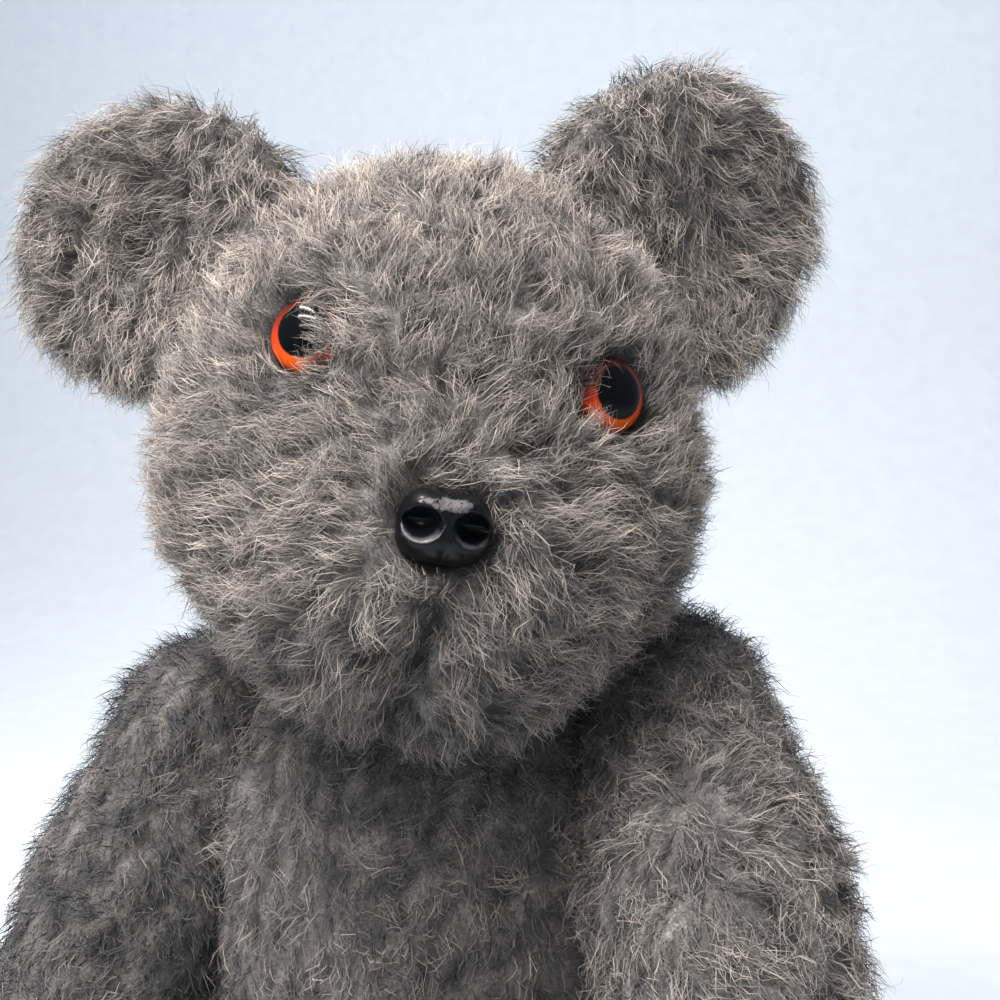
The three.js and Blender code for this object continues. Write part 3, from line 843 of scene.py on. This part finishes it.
def lock_lies(locks, out, comb, pile, plan, rng):
    """How each lock lies: its brushed direction and the one across, turned this way and that, how
    far it leans at root and tip, its length, its curl and its shade."""
    count, seed = len(locks), plan["seed"]
    way = comb(locks, out)
    way = unit(way - along(way, out) * out)
    side = np.cross(out, way)
    turn = plan["sway"] * ripple(locks, 0.022, seed) + rng.normal(0, plan["stray"], count)
    cos, sin = np.cos(turn)[:, None], np.sin(turn)[:, None]
    swell = 0.5 + 0.5 * ripple(locks, 0.017, seed + 3)
    return {
        "out": out,
        "way": way * cos + side * sin,
        "side": side * cos - way * sin,
        "first_lean": np.radians(rng.uniform(12, 42, count)),
        "last_lean": np.radians(rng.uniform(84, 126, count)),
        "length": pile.length * plan["length"] * (0.90 + 0.16 * swell) * rng.uniform(0.9, 1.1, count),
        "curl": rng.uniform(-1, 1, count) * MOST_CURL,
        "phase": rng.uniform(0, 2 * math.pi, count),
        "shade": 0.12 * ripple(locks, 0.019, seed + 5) + rng.normal(0, 0.11, count),
    }


def fibre_paths(roots, locks, lock_out, comb, pile, plan, rng):
    """The path of each fibre as rows of points, its shade from 0 to 1 with the piece's painted light
    and shade, the way out of its lock and its share of the full width."""
    rows, count = plan["rows"], len(roots)
    tree = KDTree(len(locks))
    for i, place in enumerate(locks):
        tree.insert(place, i)
    tree.balance()
    own = np.array([tree.find(Vector(p))[1] for p in roots])
    lie = {key: value[own] for key, value in lock_lies(locks, lock_out, comb, pile, plan, rng).items()}

    # a few fibres have come loose from their lock: finer, straighter and longer
    loose = rng.random(count) < 0.10
    t = (np.linspace(0, 1, rows) ** 0.88)[None, :]
    first = (lie["first_lean"] + rng.normal(0, 0.18, count))[:, None]
    last = (lie["last_lean"] + rng.normal(0, 0.24, count) - 0.4 * loose)[:, None]
    size = (lie["length"] * rng.uniform(0.70, 1.05, count) * np.where(loose, 1.12, 1.0))[:, None]
    lean = first + (last - first) * np.linspace(0, 1, LEAN_STEPS)[None, :] ** 0.9
    over = np.cumsum(np.sin(lean), 1) / LEAN_STEPS
    high = np.cumsum(np.cos(lean), 1) / LEAN_STEPS
    over, high = over - over[:, :1], high - high[:, :1]
    at = np.round(t[0] * (LEAN_STEPS - 1)).astype(int)
    over, high = over[:, at] * size, high[:, at] * size
    wave = np.sin(lie["phase"][:, None] + 5.2 * t) - np.sin(lie["phase"])[:, None]
    across = lie["curl"][:, None] * wave
    gather = (locks[own] - roots) * (plan["gather"] * np.where(loose, 0.1, 1.0))[:, None]
    gather -= along(gather, lie["out"]) * lie["out"]
    frizz = rng.normal(0, plan["frizz"], (count, 1, 3)) * t[..., None] ** 1.4
    kink = rng.normal(0, plan["kink"], (count, rows, 3)) * np.minimum(t * 3, 1)[..., None]
    paths = (
        (roots - lie["out"] * ROOT_DEPTH)[:, None]
        + over[..., None] * lie["way"][:, None]
        + across[..., None] * lie["side"][:, None]
        + high[..., None] * lie["out"][:, None]
        + gather[:, None] * (t[..., None] ** 1.3)
        + frizz
        + kink
    )
    # painted light and shade: the piece's tone makes its fibres paler or darker for the light that
    # falls there
    shade = 0.54 + plan["tone"] + lie["shade"] + rng.normal(0, 0.11, count)
    return paths, np.clip(shade, *SHADES), lie["out"], np.where(loose, 0.65, 1.0)


MAP_STRIP, MAP_EDGE = 0.006, 0.01


def ribbons(name, paths, out, shade, width, rng):
    """One mesh of tapered fibres, each a narrow strip along its path."""
    count, rows = paths.shape[:2]
    run = unit(np.gradient(paths, axis=1))
    roll = rng.normal(0, 0.75, count)
    flat = unit(np.cross(run, out[:, None]))
    up = np.cross(flat, run)
    across = flat * np.cos(roll)[:, None, None] + up * np.sin(roll)[:, None, None]
    t = np.linspace(0, 1, rows) ** 0.88
    taper = (0.7 + 0.5 * np.sin(math.pi * np.minimum(t * 1.25, 1))) * (1 - 0.55 * t)
    half = (width * rng.uniform(0.65, 1.25, count))[:, None] * taper[None] / 2
    left = paths - across * half[..., None]
    right = paths + across * half[..., None]
    per = 2 * (rows - 1) + 1
    points = np.empty((count, per, 3))
    points[:, 0:-1:2] = left[:, :-1]
    points[:, 1:-1:2] = right[:, :-1]
    points[:, -1] = paths[:, -1]
    # the map: a narrow upright strip for each fibre, at its shade across and root to tip upward
    chart = np.empty((count, per, 2))
    chart[:, 0:-1:2, 0] = shade[:, None] - MAP_STRIP / 2
    chart[:, 1:-1:2, 0] = shade[:, None] + MAP_STRIP / 2
    chart[:, -1, 0] = shade
    chart[:, 0:-1:2, 1] = t[None, :-1] * (1 - 2 * MAP_EDGE) + MAP_EDGE
    chart[:, 1:-1:2, 1] = t[None, :-1] * (1 - 2 * MAP_EDGE) + MAP_EDGE
    chart[:, -1, 1] = 1 - MAP_EDGE
    # each fibre is a row of squares with a triangle for its tip
    strip = []
    for i in range(rows - 2):
        strip += [2 * i, 2 * i + 1, 2 * i + 3, 2 * i + 2]
    strip += [2 * (rows - 2), 2 * (rows - 2) + 1, per - 1]
    sizes = [4] * (rows - 2) + [3]
    loops = (np.array(strip)[None] + per * np.arange(count)[:, None]).ravel()
    totals = np.tile(sizes, count)
    starts = np.concatenate([[0], np.cumsum(totals)[:-1]])
    mesh = bpy.data.meshes.new(name)
    mesh.vertices.add(count * per)
    mesh.vertices.foreach_set("co", points.astype(np.float32).ravel())
    mesh.loops.add(len(loops))
    mesh.loops.foreach_set("vertex_index", loops.astype(np.int32))
    mesh.polygons.add(len(totals))
    mesh.polygons.foreach_set("loop_start", starts.astype(np.int32))
    mesh.polygons.foreach_set("use_smooth", np.ones(len(totals), bool))
    layer = mesh.uv_layers.new(name="OFBake")
    flat_chart = chart.reshape(-1, 2)[loops]
    layer.uv.foreach_set("vector", flat_chart.astype(np.float32).ravel())
    mesh.update(calc_edges=True)
    mesh.validate()
    piece = bpy.data.objects.new(name, mesh)
    bpy.context.scene.collection.objects.link(piece)
    return piece


# the pile stays this close to the box of the solids, and off the floor
PAST_BOX = 0.009
LIMIT_LOW = np.array(CAD_BOX[0]) - PAST_BOX
LIMIT_HIGH = np.array(CAD_BOX[1]) + PAST_BOX
FLOOR_GAP = 0.0004


def grow(name, skin, node, comb, pile, plan, where=None):
    """Grows one piece of pile on a skin, by its plan, where the mask allows it."""
    rng = np.random.default_rng(plan["seed"])
    want = max(60, int(plan["count"] * pile.fullness))
    others = neighbours(node)

    def places(number):
        found, ways, area = scatter(skin, number, rng)
        keep = np.ones(len(found), bool)
        if where is not None:
            keep &= where(found, ways)
        if node == "head":
            keep &= clear_of_fittings(found)
        found, ways = found[keep], ways[keep]
        room = has_room(others, found, ways)
        return found[room], ways[room], area

    roots, out, area = places(int(want * plan.get("tries", 3)))
    roots, out = roots[:want], out[:want]
    locks, lock_out, _ = places(int(area / (pile.lock * plan["lock"]) ** 2))
    paths, shade, out, slim = fibre_paths(roots, locks, lock_out, comb, pile, plan, rng)
    if node == "head":
        local = head_local(roots)
        depth, _ = folded(local)
        paths = roots[:, None] + (paths - roots[:, None]) * (1 - 0.5 * depth)[:, None, None]
        # painted shade: the fibres are darker in the seams and folds of the face and under the chin,
        # where shade falls
        under = np.clip((-34 - local[:, 2]) / 26, 0, 1)
        shade = np.clip(shade - 0.36 * depth - 0.20 * under, *SHADES)
        paths = part_round_eyes(paths, roots, rng)
        paths = part_round_nose(paths)
    paths = np.clip(paths, LIMIT_LOW + FLOOR_GAP, LIMIT_HIGH - FLOOR_GAP)
    paths[..., 2] = np.maximum(paths[..., 2], FLOOR_GAP)
    return ribbons(name, paths, out, shade, pile.fibre * plan["width"] * slim, rng)


# rows: points along a fibre; lengths, widths and locks are shares of the pile's own. sway and
# stray turn a lock, gather draws a fibre into it, frizz and kink bend the fibre by that many
# metres, tone is painted light and shade that makes a piece's fibres paler where the lamps light it and
# darker where it lies in shade, and tries is how many places are tried for each fibre that is kept
FACE = dict(rows=4, length=0.80, width=0.62, lock=1.15, sway=0.8, stray=0.34,
            gather=0.60, frizz=0.0015, kink=0.00080, tone=0.06)
FAR = dict(FACE, width=1.05, lock=1.2, kink=0.0008)
LASH = dict(FACE, length=0.95, width=0.50, gather=0.2, frizz=0.0020, tone=0.16, tries=160)
PLANS = {
    "pile_face_left": dict(FACE, count=31500, seed=11),
    "pile_face_right": dict(FACE, count=31500, seed=12, tone=0.04),
    "pile_head_back": dict(FAR, count=12000, seed=13),
    "pile_lash_left": dict(LASH, count=90, seed=21),
    "pile_lash_right": dict(LASH, count=1100, seed=22),
    "pile_ear_left": dict(FACE, count=18500, seed=14, length=0.80),
    "pile_ear_right": dict(FACE, count=16500, seed=15, tone=0.04),
    "pile_body": dict(FAR, count=28500, seed=16, width=0.88, length=0.60, tone=-0.30),
    "pile_arm_left": dict(FACE, count=19500, seed=17, width=0.78, length=0.70, tone=-0.16),
    "pile_arm_right": dict(FAR, count=13500, seed=18, width=0.88, length=0.66, tone=-0.46),
    "pile_leg_left": dict(FAR, count=8000, seed=19, width=1.3, length=0.66),
    "pile_leg_right": dict(FAR, count=8000, seed=20, width=1.3, length=0.66),
}


# ---- operators ----


class BEAR_OT_skins(bpy.types.Operator):
    """Makes the stuffed cloth skins of the head, ears, body, arms and legs"""

    bl_idname = "bear.skins"
    bl_label = "Stuffed skins"

    def execute(self, context):
        wool = matted_underwool()
        for node, (voxel, swell, seed, pale) in SKINS.items():
            spare = sparing if node == "head" else None
            piece = stuffed_skin(node, f"skin_{node}", voxel, swell, seed, pale, spare=spare)
            piece.data.materials.append(wool)
            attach(piece, BODY_OF[node])
            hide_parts(node)
        return {"FINISHED"}


class BEAR_OT_pile(bpy.types.Operator):
    """Grows the curled, worn pile on the skins"""

    bl_idname = "bear.pile"
    bl_label = "Curly pile"

    def execute(self, context):
        pile = context.scene.bear_pile
        wool = curly_pile(pile)

        def front(sign):
            def mask(places, ways):
                local = head_local(places)
                return (local[:, 1] < 2) & (local[:, 0] * sign >= 0)

            return mask

        def behind(places, ways):
            return head_local(places)[:, 1] >= 2

        jobs = [
            ("pile_face_left", "head", head_comb, front(1)),
            ("pile_face_right", "head", head_comb, front(-1)),
            ("pile_head_back", "head", head_comb, behind),
            ("pile_lash_left", "head", *lashes("left")),
            ("pile_lash_right", "head", *lashes("right")),
            ("pile_ear_left", "ear_left", ear_comb("left"), None),
            ("pile_ear_right", "ear_right", ear_comb("right"), None),
            ("pile_body", "body", body_comb, None),
            ("pile_arm_left", "arm_left", arm_comb("left"), None),
            ("pile_arm_right", "arm_right", arm_comb("right"), None),
            ("pile_leg_left", "leg_left", leg_comb("left"), None),
            ("pile_leg_right", "leg_right", leg_comb("right"), None),
        ]
        for name, node, comb, where in jobs:
            skin = bpy.data.objects[f"skin_{node}"]
            piece = grow(name, skin, node, comb, pile, PLANS[name], where)
            piece.data.materials.append(wool)
            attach(piece, BODY_OF[node])
        return {"FINISHED"}


def placed(points, seat, side, up, way):
    """Points in a fitting's own axes, put in place on the bear."""
    return seat + points[:, :1] * side + points[:, 1:2] * up + points[:, 2:] * way


def turned_piece(name, profile, seat, way, steps=64):
    """A turned form: a profile of (radius, height) points spun about the fitting's axis."""
    deselect()
    mesh = bpy.data.meshes.new(name)
    mesh.from_pydata([(r, 0, h) for r, h in profile], [(i, i + 1) for i in range(len(profile) - 1)], [])
    piece = bpy.data.objects.new(name, mesh)
    bpy.context.scene.collection.objects.link(piece)
    only(piece)
    bpy.ops.object.mode_set(mode="EDIT")
    bpy.ops.mesh.select_all(action="SELECT")
    bpy.ops.mesh.spin(steps=steps, angle=2 * math.pi, center=(0, 0, 0), axis=(0, 0, 1))
    bpy.ops.mesh.select_all(action="SELECT")
    bpy.ops.mesh.remove_doubles(threshold=0.00001)
    bpy.ops.mesh.normals_make_consistent(inside=False)
    bpy.ops.object.mode_set(mode="OBJECT")
    side = unit(np.cross((0, 0, 1.0), way))
    up = np.cross(way, side)
    put_points(mesh, placed(points_of(mesh), seat, side, up, way))
    bpy.ops.object.shade_smooth_by_angle(angle=math.radians(40))
    return piece


# (radius, height) round the pupil's disc, from its back to its slightly domed front
PUPIL_PROFILE = [
    (0.0, 0.0),
    (0.0055, 0.0),
    (0.0059, 0.0003),
    (0.0059, 0.0016),
    (0.0055, 0.0020),
    (0.0028, 0.0021),
    (0.0, 0.00215),
]


def dome_profile(r):
    """(radius, height) round an eye: the hollow for the pupil, the flat back, the rim, the dome."""
    rise, rim, hollow_r, hollow, arc = 0.0070, 0.0012, 0.0063, 0.0025, 16
    profile = [(0.0, hollow), (hollow_r, hollow), (hollow_r, 0.0), (r - 0.0006, 0.0)]
    for i in range(arc + 1):
        a = math.radians(90 * i / arc)
        out = r * math.cos(a) if i < arc else 0.0
        profile.append((out, rim + (rise - rim) * math.sin(a)))
    return profile


class BEAR_OT_eyes(bpy.types.Operator):
    """Makes the domed amber lens and black pupil of both eyes"""

    bl_idname = "bear.eyes"
    bl_label = "Amber eyes"

    def execute(self, context):
        fittings = context.scene.bear_fittings
        amber = cast_eye(fittings)
        black = black_eye_moulding(fittings)
        r = fittings.eye / 2
        for side, (seat, way, _) in EYES.items():
            lens = turned_piece(f"eye_{side}_dome", dome_profile(r), seat, way)
            _, flat, _ = in_the_eye(points_of(lens.data), seat, way)
            up = unit(np.array([0, 0, 1.0]) - way * way[2])
            # the rim shows wider below and outside, because the pupil sits high and inward
            raised = flat - up * (0.05 * r) - toward_nose(seat, way) * (0.07 * r)
            mark(lens.data, "from_middle", np.linalg.norm(raised, axis=1) / r)
            # painted light: lowness makes the amber ring glow orange low down and darker red-brown high
            # up
            mark(lens.data, "lowness", 0.42 - 0.5 * (flat @ up) / r)
            lens.data.materials.append(amber)
            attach(lens, "head")
            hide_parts(f"eye_{side}_lens")
            disc = turned_piece(f"eye_{side}_pupil_disc", PUPIL_PROFILE, seat, way, steps=40)
            disc.data.materials.append(black)
            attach(disc, "head")
            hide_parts(f"eye_{side}_pupil")
        return {"FINISHED"}


def bell(x, y, at, size):
    """A smooth mound from 1 at its middle, that many metres wide and high."""
    return np.exp(-(((x - at[0]) / size[0]) ** 2) - (((y - at[1]) / size[1]) ** 2))


# how square the nose's outline is, and each nostril's place, half sizes and depth
NOSE_SQUARE = 3.0
NOSTRIL_AT = (0.0050, -0.0006)
NOSTRIL_SIZE = (0.0042, 0.0037)
NOSTRIL_DEEP = 0.0064


def nose_form(ball):
    """The nose's points in its own axes, from those of a ball whose pole faces forward, with how
    rubbed each one is and how much dust and painted sheen lies on it, from 0 to 1."""
    # a blunt front and full sides: the ball is squared toward a soft box
    norm = (np.abs(ball) ** NOSE_SQUARE).sum(1) ** (1 / NOSE_SQUARE)
    x, y, z = (ball / norm[:, None]).T
    front = np.clip(z, 0, 1)
    narrow = 1 - 0.07 * np.clip(-y, 0, 1) ** 1.5
    px = x * narrow * NOSE_WIDE / 2
    py = y * NOSE_HIGH / 2
    # a dip in the middle of the top edge, with a lobe on each side
    py -= 0.0014 * np.exp(-((px / 0.0030) ** 2)) * np.clip(y, 0, 1) ** 1.5
    py += 0.0005 * np.exp(-(((np.abs(px) - 0.0055) / 0.003) ** 2)) * np.clip(y, 0, 1) ** 2
    pz = np.where(z > 0, z * NOSE_STANDS, z * 0.0030)
    dust_and_sheen = np.zeros(len(px))
    for sign in (-1, 1):
        # each nostril is a scoop: deepest under its brow, running out to its bottom edge
        across = (px - sign * NOSTRIL_AT[0]) / NOSTRIL_SIZE[0]
        ring = np.hypot(across, (py - NOSTRIL_AT[1]) / NOSTRIL_SIZE[1])
        low = np.clip((0.0012 - py) / 0.0040, 0, 1)
        scoop = np.clip(1 - ring**2, 0, 1) ** (0.6 + 1.0 * low)
        pz = pz - NOSTRIL_DEEP * scoop * (1 - 0.45 * low) * np.clip(front * 2.2, 0, 1)
        # dust and painted sheen lie on the low inner rim of each nostril, where light from above
        # catches it
        dust_and_sheen = np.maximum(dust_and_sheen, np.exp(-(((ring - 0.80) / 0.20) ** 2)) * low)
    crease = np.exp(-((px / 0.0009) ** 2)) * np.clip((0.002 - py) / 0.004, 0, 1)
    pz = pz - 0.0007 * crease * np.clip(front * 2, 0, 1)
    pz = pz + 0.0007 * bell(px, py, (0.0, 0.0048), (0.0078, 0.0018)) * front
    shaped = np.stack([px, py, pz], 1)
    # the brow and one low corner are rubbed, with a grit of small chips
    facing = np.clip(front * 3, 0, 1)
    rubbed = bell(px, py, (0.0, 0.0040), (0.0068, 0.0021)) * facing
    rubbed = np.clip(rubbed + 0.5 * bell(px, py, (0.0045, -0.0062), (0.002, 0.001)), 0, 1)
    grit = ripple(shaped, 0.0016, 5) * 0.5 + ripple(shaped, 0.0008, 6) * 0.5
    shaped[:, 2] += 0.00022 * rubbed * grit
    return shaped, rubbed, dust_and_sheen * facing


class BEAR_OT_nose(bpy.types.Operator):
    """Shapes the moulded nose, with its brow, dip, nostrils and worn patches"""

    bl_idname = "bear.nose"
    bl_label = "Moulded nose"

    def execute(self, context):
        deselect()
        bpy.ops.mesh.primitive_uv_sphere_add(segments=104, ring_count=56, radius=1)
        piece = context.object
        piece.name = "nose_moulding"
        mesh = piece.data
        shaped, rubbed, dust_and_sheen = nose_form(points_of(mesh))
        put_points(mesh, placed(shaped, NOSE_AT, NOSE_SIDE, NOSE_UP, NOSE_WAY))
        mark(mesh, "rubbed", rubbed)
        # dust and painted sheen on the nostrils' low rims
        mark(mesh, "dust_and_sheen", dust_and_sheen)
        only(piece)
        bpy.ops.object.mode_set(mode="EDIT")
        bpy.ops.mesh.select_all(action="SELECT")
        bpy.ops.mesh.normals_make_consistent(inside=False)
        bpy.ops.object.mode_set(mode="OBJECT")
        bpy.ops.object.shade_smooth()
        mesh.materials.append(worn_black_moulding(context.scene.bear_fittings))
        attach(piece, "head")
        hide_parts("nose")
        return {"FINISHED"}


class BEAR_OT_pads(bpy.types.Operator):
    """Makes the felt pads of the paws and feet"""

    bl_idname = "bear.pads"
    bl_label = "Felt pads"

    def execute(self, context):
        felt = wool_felt(context.scene.bear_fittings)
        for i, node in enumerate(PADS):
            piece = stuffed_skin(node, f"felt_{node}", 0.0012, 0.0002, 50 + i, smooth=3)
            piece.data.materials.append(felt)
            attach(piece, BODY_OF[node])
            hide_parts(node)
        return {"FINISHED"}


class BEAR_OT_hardware(bpy.types.Operator):
    """Gives the discs, washers and pins of the five joints their finish"""

    bl_idname = "bear.hardware"
    bl_label = "Joint hardware"

    def execute(self, context):
        board, steel = pressed_hardboard(), zinc_steel()
        for name, node in FRAME["nodes"].items():
            finish = None
            if name.startswith("disc_"):
                finish = board
            elif name.startswith(("washer_", "pin_")) or name.endswith("_washer"):
                finish = steel
            if finish is not None:
                node.data.materials.clear()
                node.data.materials.append(finish)
        return {"FINISHED"}


FLOOR_WIDE = 5.0
SWEEP_FROM = 0.5
SWEEP_ROUND = 0.7
CAMERA_AT = (0.0821, -0.2995, 0.200)
CAMERA_TURN = 12
CAMERA_LENS = 42.6
FACE_PLACE = (0.0, -0.03, 0.23)
BACKDROP_PLACE = (-0.30, 1.3, 0.50)
# name, place, what it faces, width and height, watts and tint: three long tubes overhead in
# front, one above the other, a soft light from behind, and one for the backdrop
LAMPS = (
    ("tube_low", (-0.16, -0.64, 0.60), FACE_PLACE, (0.42, 0.035), 1.6, "#FFF9F3"),
    ("tube_middle", (-0.20, -0.48, 0.76), FACE_PLACE, (0.42, 0.05), 6.5, "#FFF9F3"),
    ("tube_high", (-0.22, -0.26, 0.86), FACE_PLACE, (0.42, 0.05), 11.5, "#FFF9F3"),
    ("behind", (-0.3, 0.6, 0.75), FACE_PLACE, (0.7, 0.5), 2.2, "#EAF2FF"),
    ("backdrop", (-0.30, 0.30, 1.05), BACKDROP_PLACE, (2.2, 0.8), 12.0, "#EAF2FF"),
)


def swept_floor(context):
    """One sheet: a floor that sweeps up behind the bear in a wide curve."""
    deselect()
    bpy.ops.mesh.primitive_plane_add(size=FLOOR_WIDE, location=(0, 0, 0))
    floor = context.object
    floor.name = "floor"
    bpy.ops.object.mode_set(mode="EDIT")
    bpy.ops.mesh.select_all(action="SELECT")
    bpy.ops.mesh.subdivide(number_cuts=63)
    bpy.ops.object.mode_set(mode="OBJECT")
    points = points_of(floor.data)
    past = np.clip(points[:, 1] - SWEEP_FROM, 0, None)
    turn = np.minimum(past / SWEEP_ROUND, math.pi / 2)
    rest = past - turn * SWEEP_ROUND
    points[:, 1] = np.where(past > 0, SWEEP_FROM + SWEEP_ROUND * np.sin(turn), points[:, 1])
    points[:, 2] = SWEEP_ROUND * (1 - np.cos(turn)) + rest
    put_points(floor.data, points)
    bpy.ops.object.shade_smooth()
    return floor


def pale_paper():
    """Uncoated paper off a roll: matt and pale, with faint 20 mm clouds."""
    paper, tree, shader = new_material("pale_paper", {"Roughness": 0.9})
    place = add_node(tree, "ShaderNodeTexCoord").outputs["Object"]
    wide = {"Vector": place, "Scale": 1 / 0.02, "Detail": 2.0, "Roughness": 0.55}
    grain = add_node(tree, "ShaderNodeTexNoise", wide)
    tones = [(0.3, linear("#C6CCD2")), (0.7, linear("#CBD1D6"))]
    tone = add_node(tree, "ShaderNodeValToRGB", {"Fac": grain}, stops=tones)
    feed(tree, shader, {"Base Color": tone})
    return paper


def lamp(context, name, at, look, size, watts, tint):
    data = bpy.data.lights.new(name, "AREA")
    data.shape, data.energy = "RECTANGLE", watts
    data.size, data.size_y = size
    data.color = linear(tint)[:3]
    made = bpy.data.objects.new(name, data)
    made.location = at
    made.rotation_euler = (Vector(look) - Vector(at)).to_track_quat("-Z", "Y").to_euler()
    context.scene.collection.objects.link(made)


class BEAR_OT_stage(bpy.types.Operator):
    """Sets the pale floor, the soft lights and the camera"""

    bl_idname = "bear.stage"
    bl_label = "Stage"

    def execute(self, context):
        floor = swept_floor(context)
        floor.data.materials.append(pale_paper())

        world = bpy.data.worlds.new("studio")
        world.use_nodes = True
        sky = world.node_tree.nodes["Background"]
        sky.inputs["Color"].default_value = linear("#E2E8F0")
        sky.inputs["Strength"].default_value = 0.34
        context.scene.world = world
        context.scene.view_settings.view_transform = "Standard"
        for one in LAMPS:
            lamp(context, *one)

        data = bpy.data.cameras.new("camera")
        data.sensor_width = 36
        data.lens = CAMERA_LENS
        camera = bpy.data.objects.new("camera", data)
        camera.location = CAMERA_AT
        camera.rotation_euler = (math.radians(90), 0, math.radians(CAMERA_TURN))
        context.scene.collection.objects.link(camera)
        context.scene.camera = camera
        return {"FINISHED"}


class BEAR_PT_panel(bpy.types.Panel):
    """The bear's pieces, with the sizes and colours that they take"""

    bl_idname = "BEAR_PT_panel"
    bl_label = "Threadbare teddy bear"
    bl_space_type = "VIEW_3D"
    bl_region_type = "UI"
    bl_category = "Bear"

    def draw(self, context):
        for group in (context.scene.bear_pile, context.scene.bear_fittings):
            column = self.layout.column(align=True)
            for key in group.__annotations__:
                column.prop(group, key)
        column = self.layout.column(align=True)
        for step in STEPS:
            column.operator(step.bl_idname)


GROUPS = (BearPile, BearFittings)
STEPS = (
    BEAR_OT_stage,
    BEAR_OT_skins,
    BEAR_OT_pile,
    BEAR_OT_eyes,
    BEAR_OT_nose,
    BEAR_OT_pads,
    BEAR_OT_hardware,
)


def register():
    for one in (*GROUPS, *STEPS, BEAR_PT_panel):
        bpy.utils.register_class(one)
    bpy.types.Scene.bear_pile = bpy.props.PointerProperty(type=BearPile)
    bpy.types.Scene.bear_fittings = bpy.props.PointerProperty(type=BearFittings)


def unregister():
    del bpy.types.Scene.bear_pile
    del bpy.types.Scene.bear_fittings
    for one in reversed((*GROUPS, *STEPS, BEAR_PT_panel)):
        bpy.utils.unregister_class(one)


def main():
    register()
    bpy.ops.bear.stage()
    bpy.ops.bear.skins()
    bpy.ops.bear.pile()
    bpy.ops.bear.eyes()
    bpy.ops.bear.nose()
    bpy.ops.bear.pads()
    bpy.ops.bear.hardware()


if __name__ == "__main__":
    main()
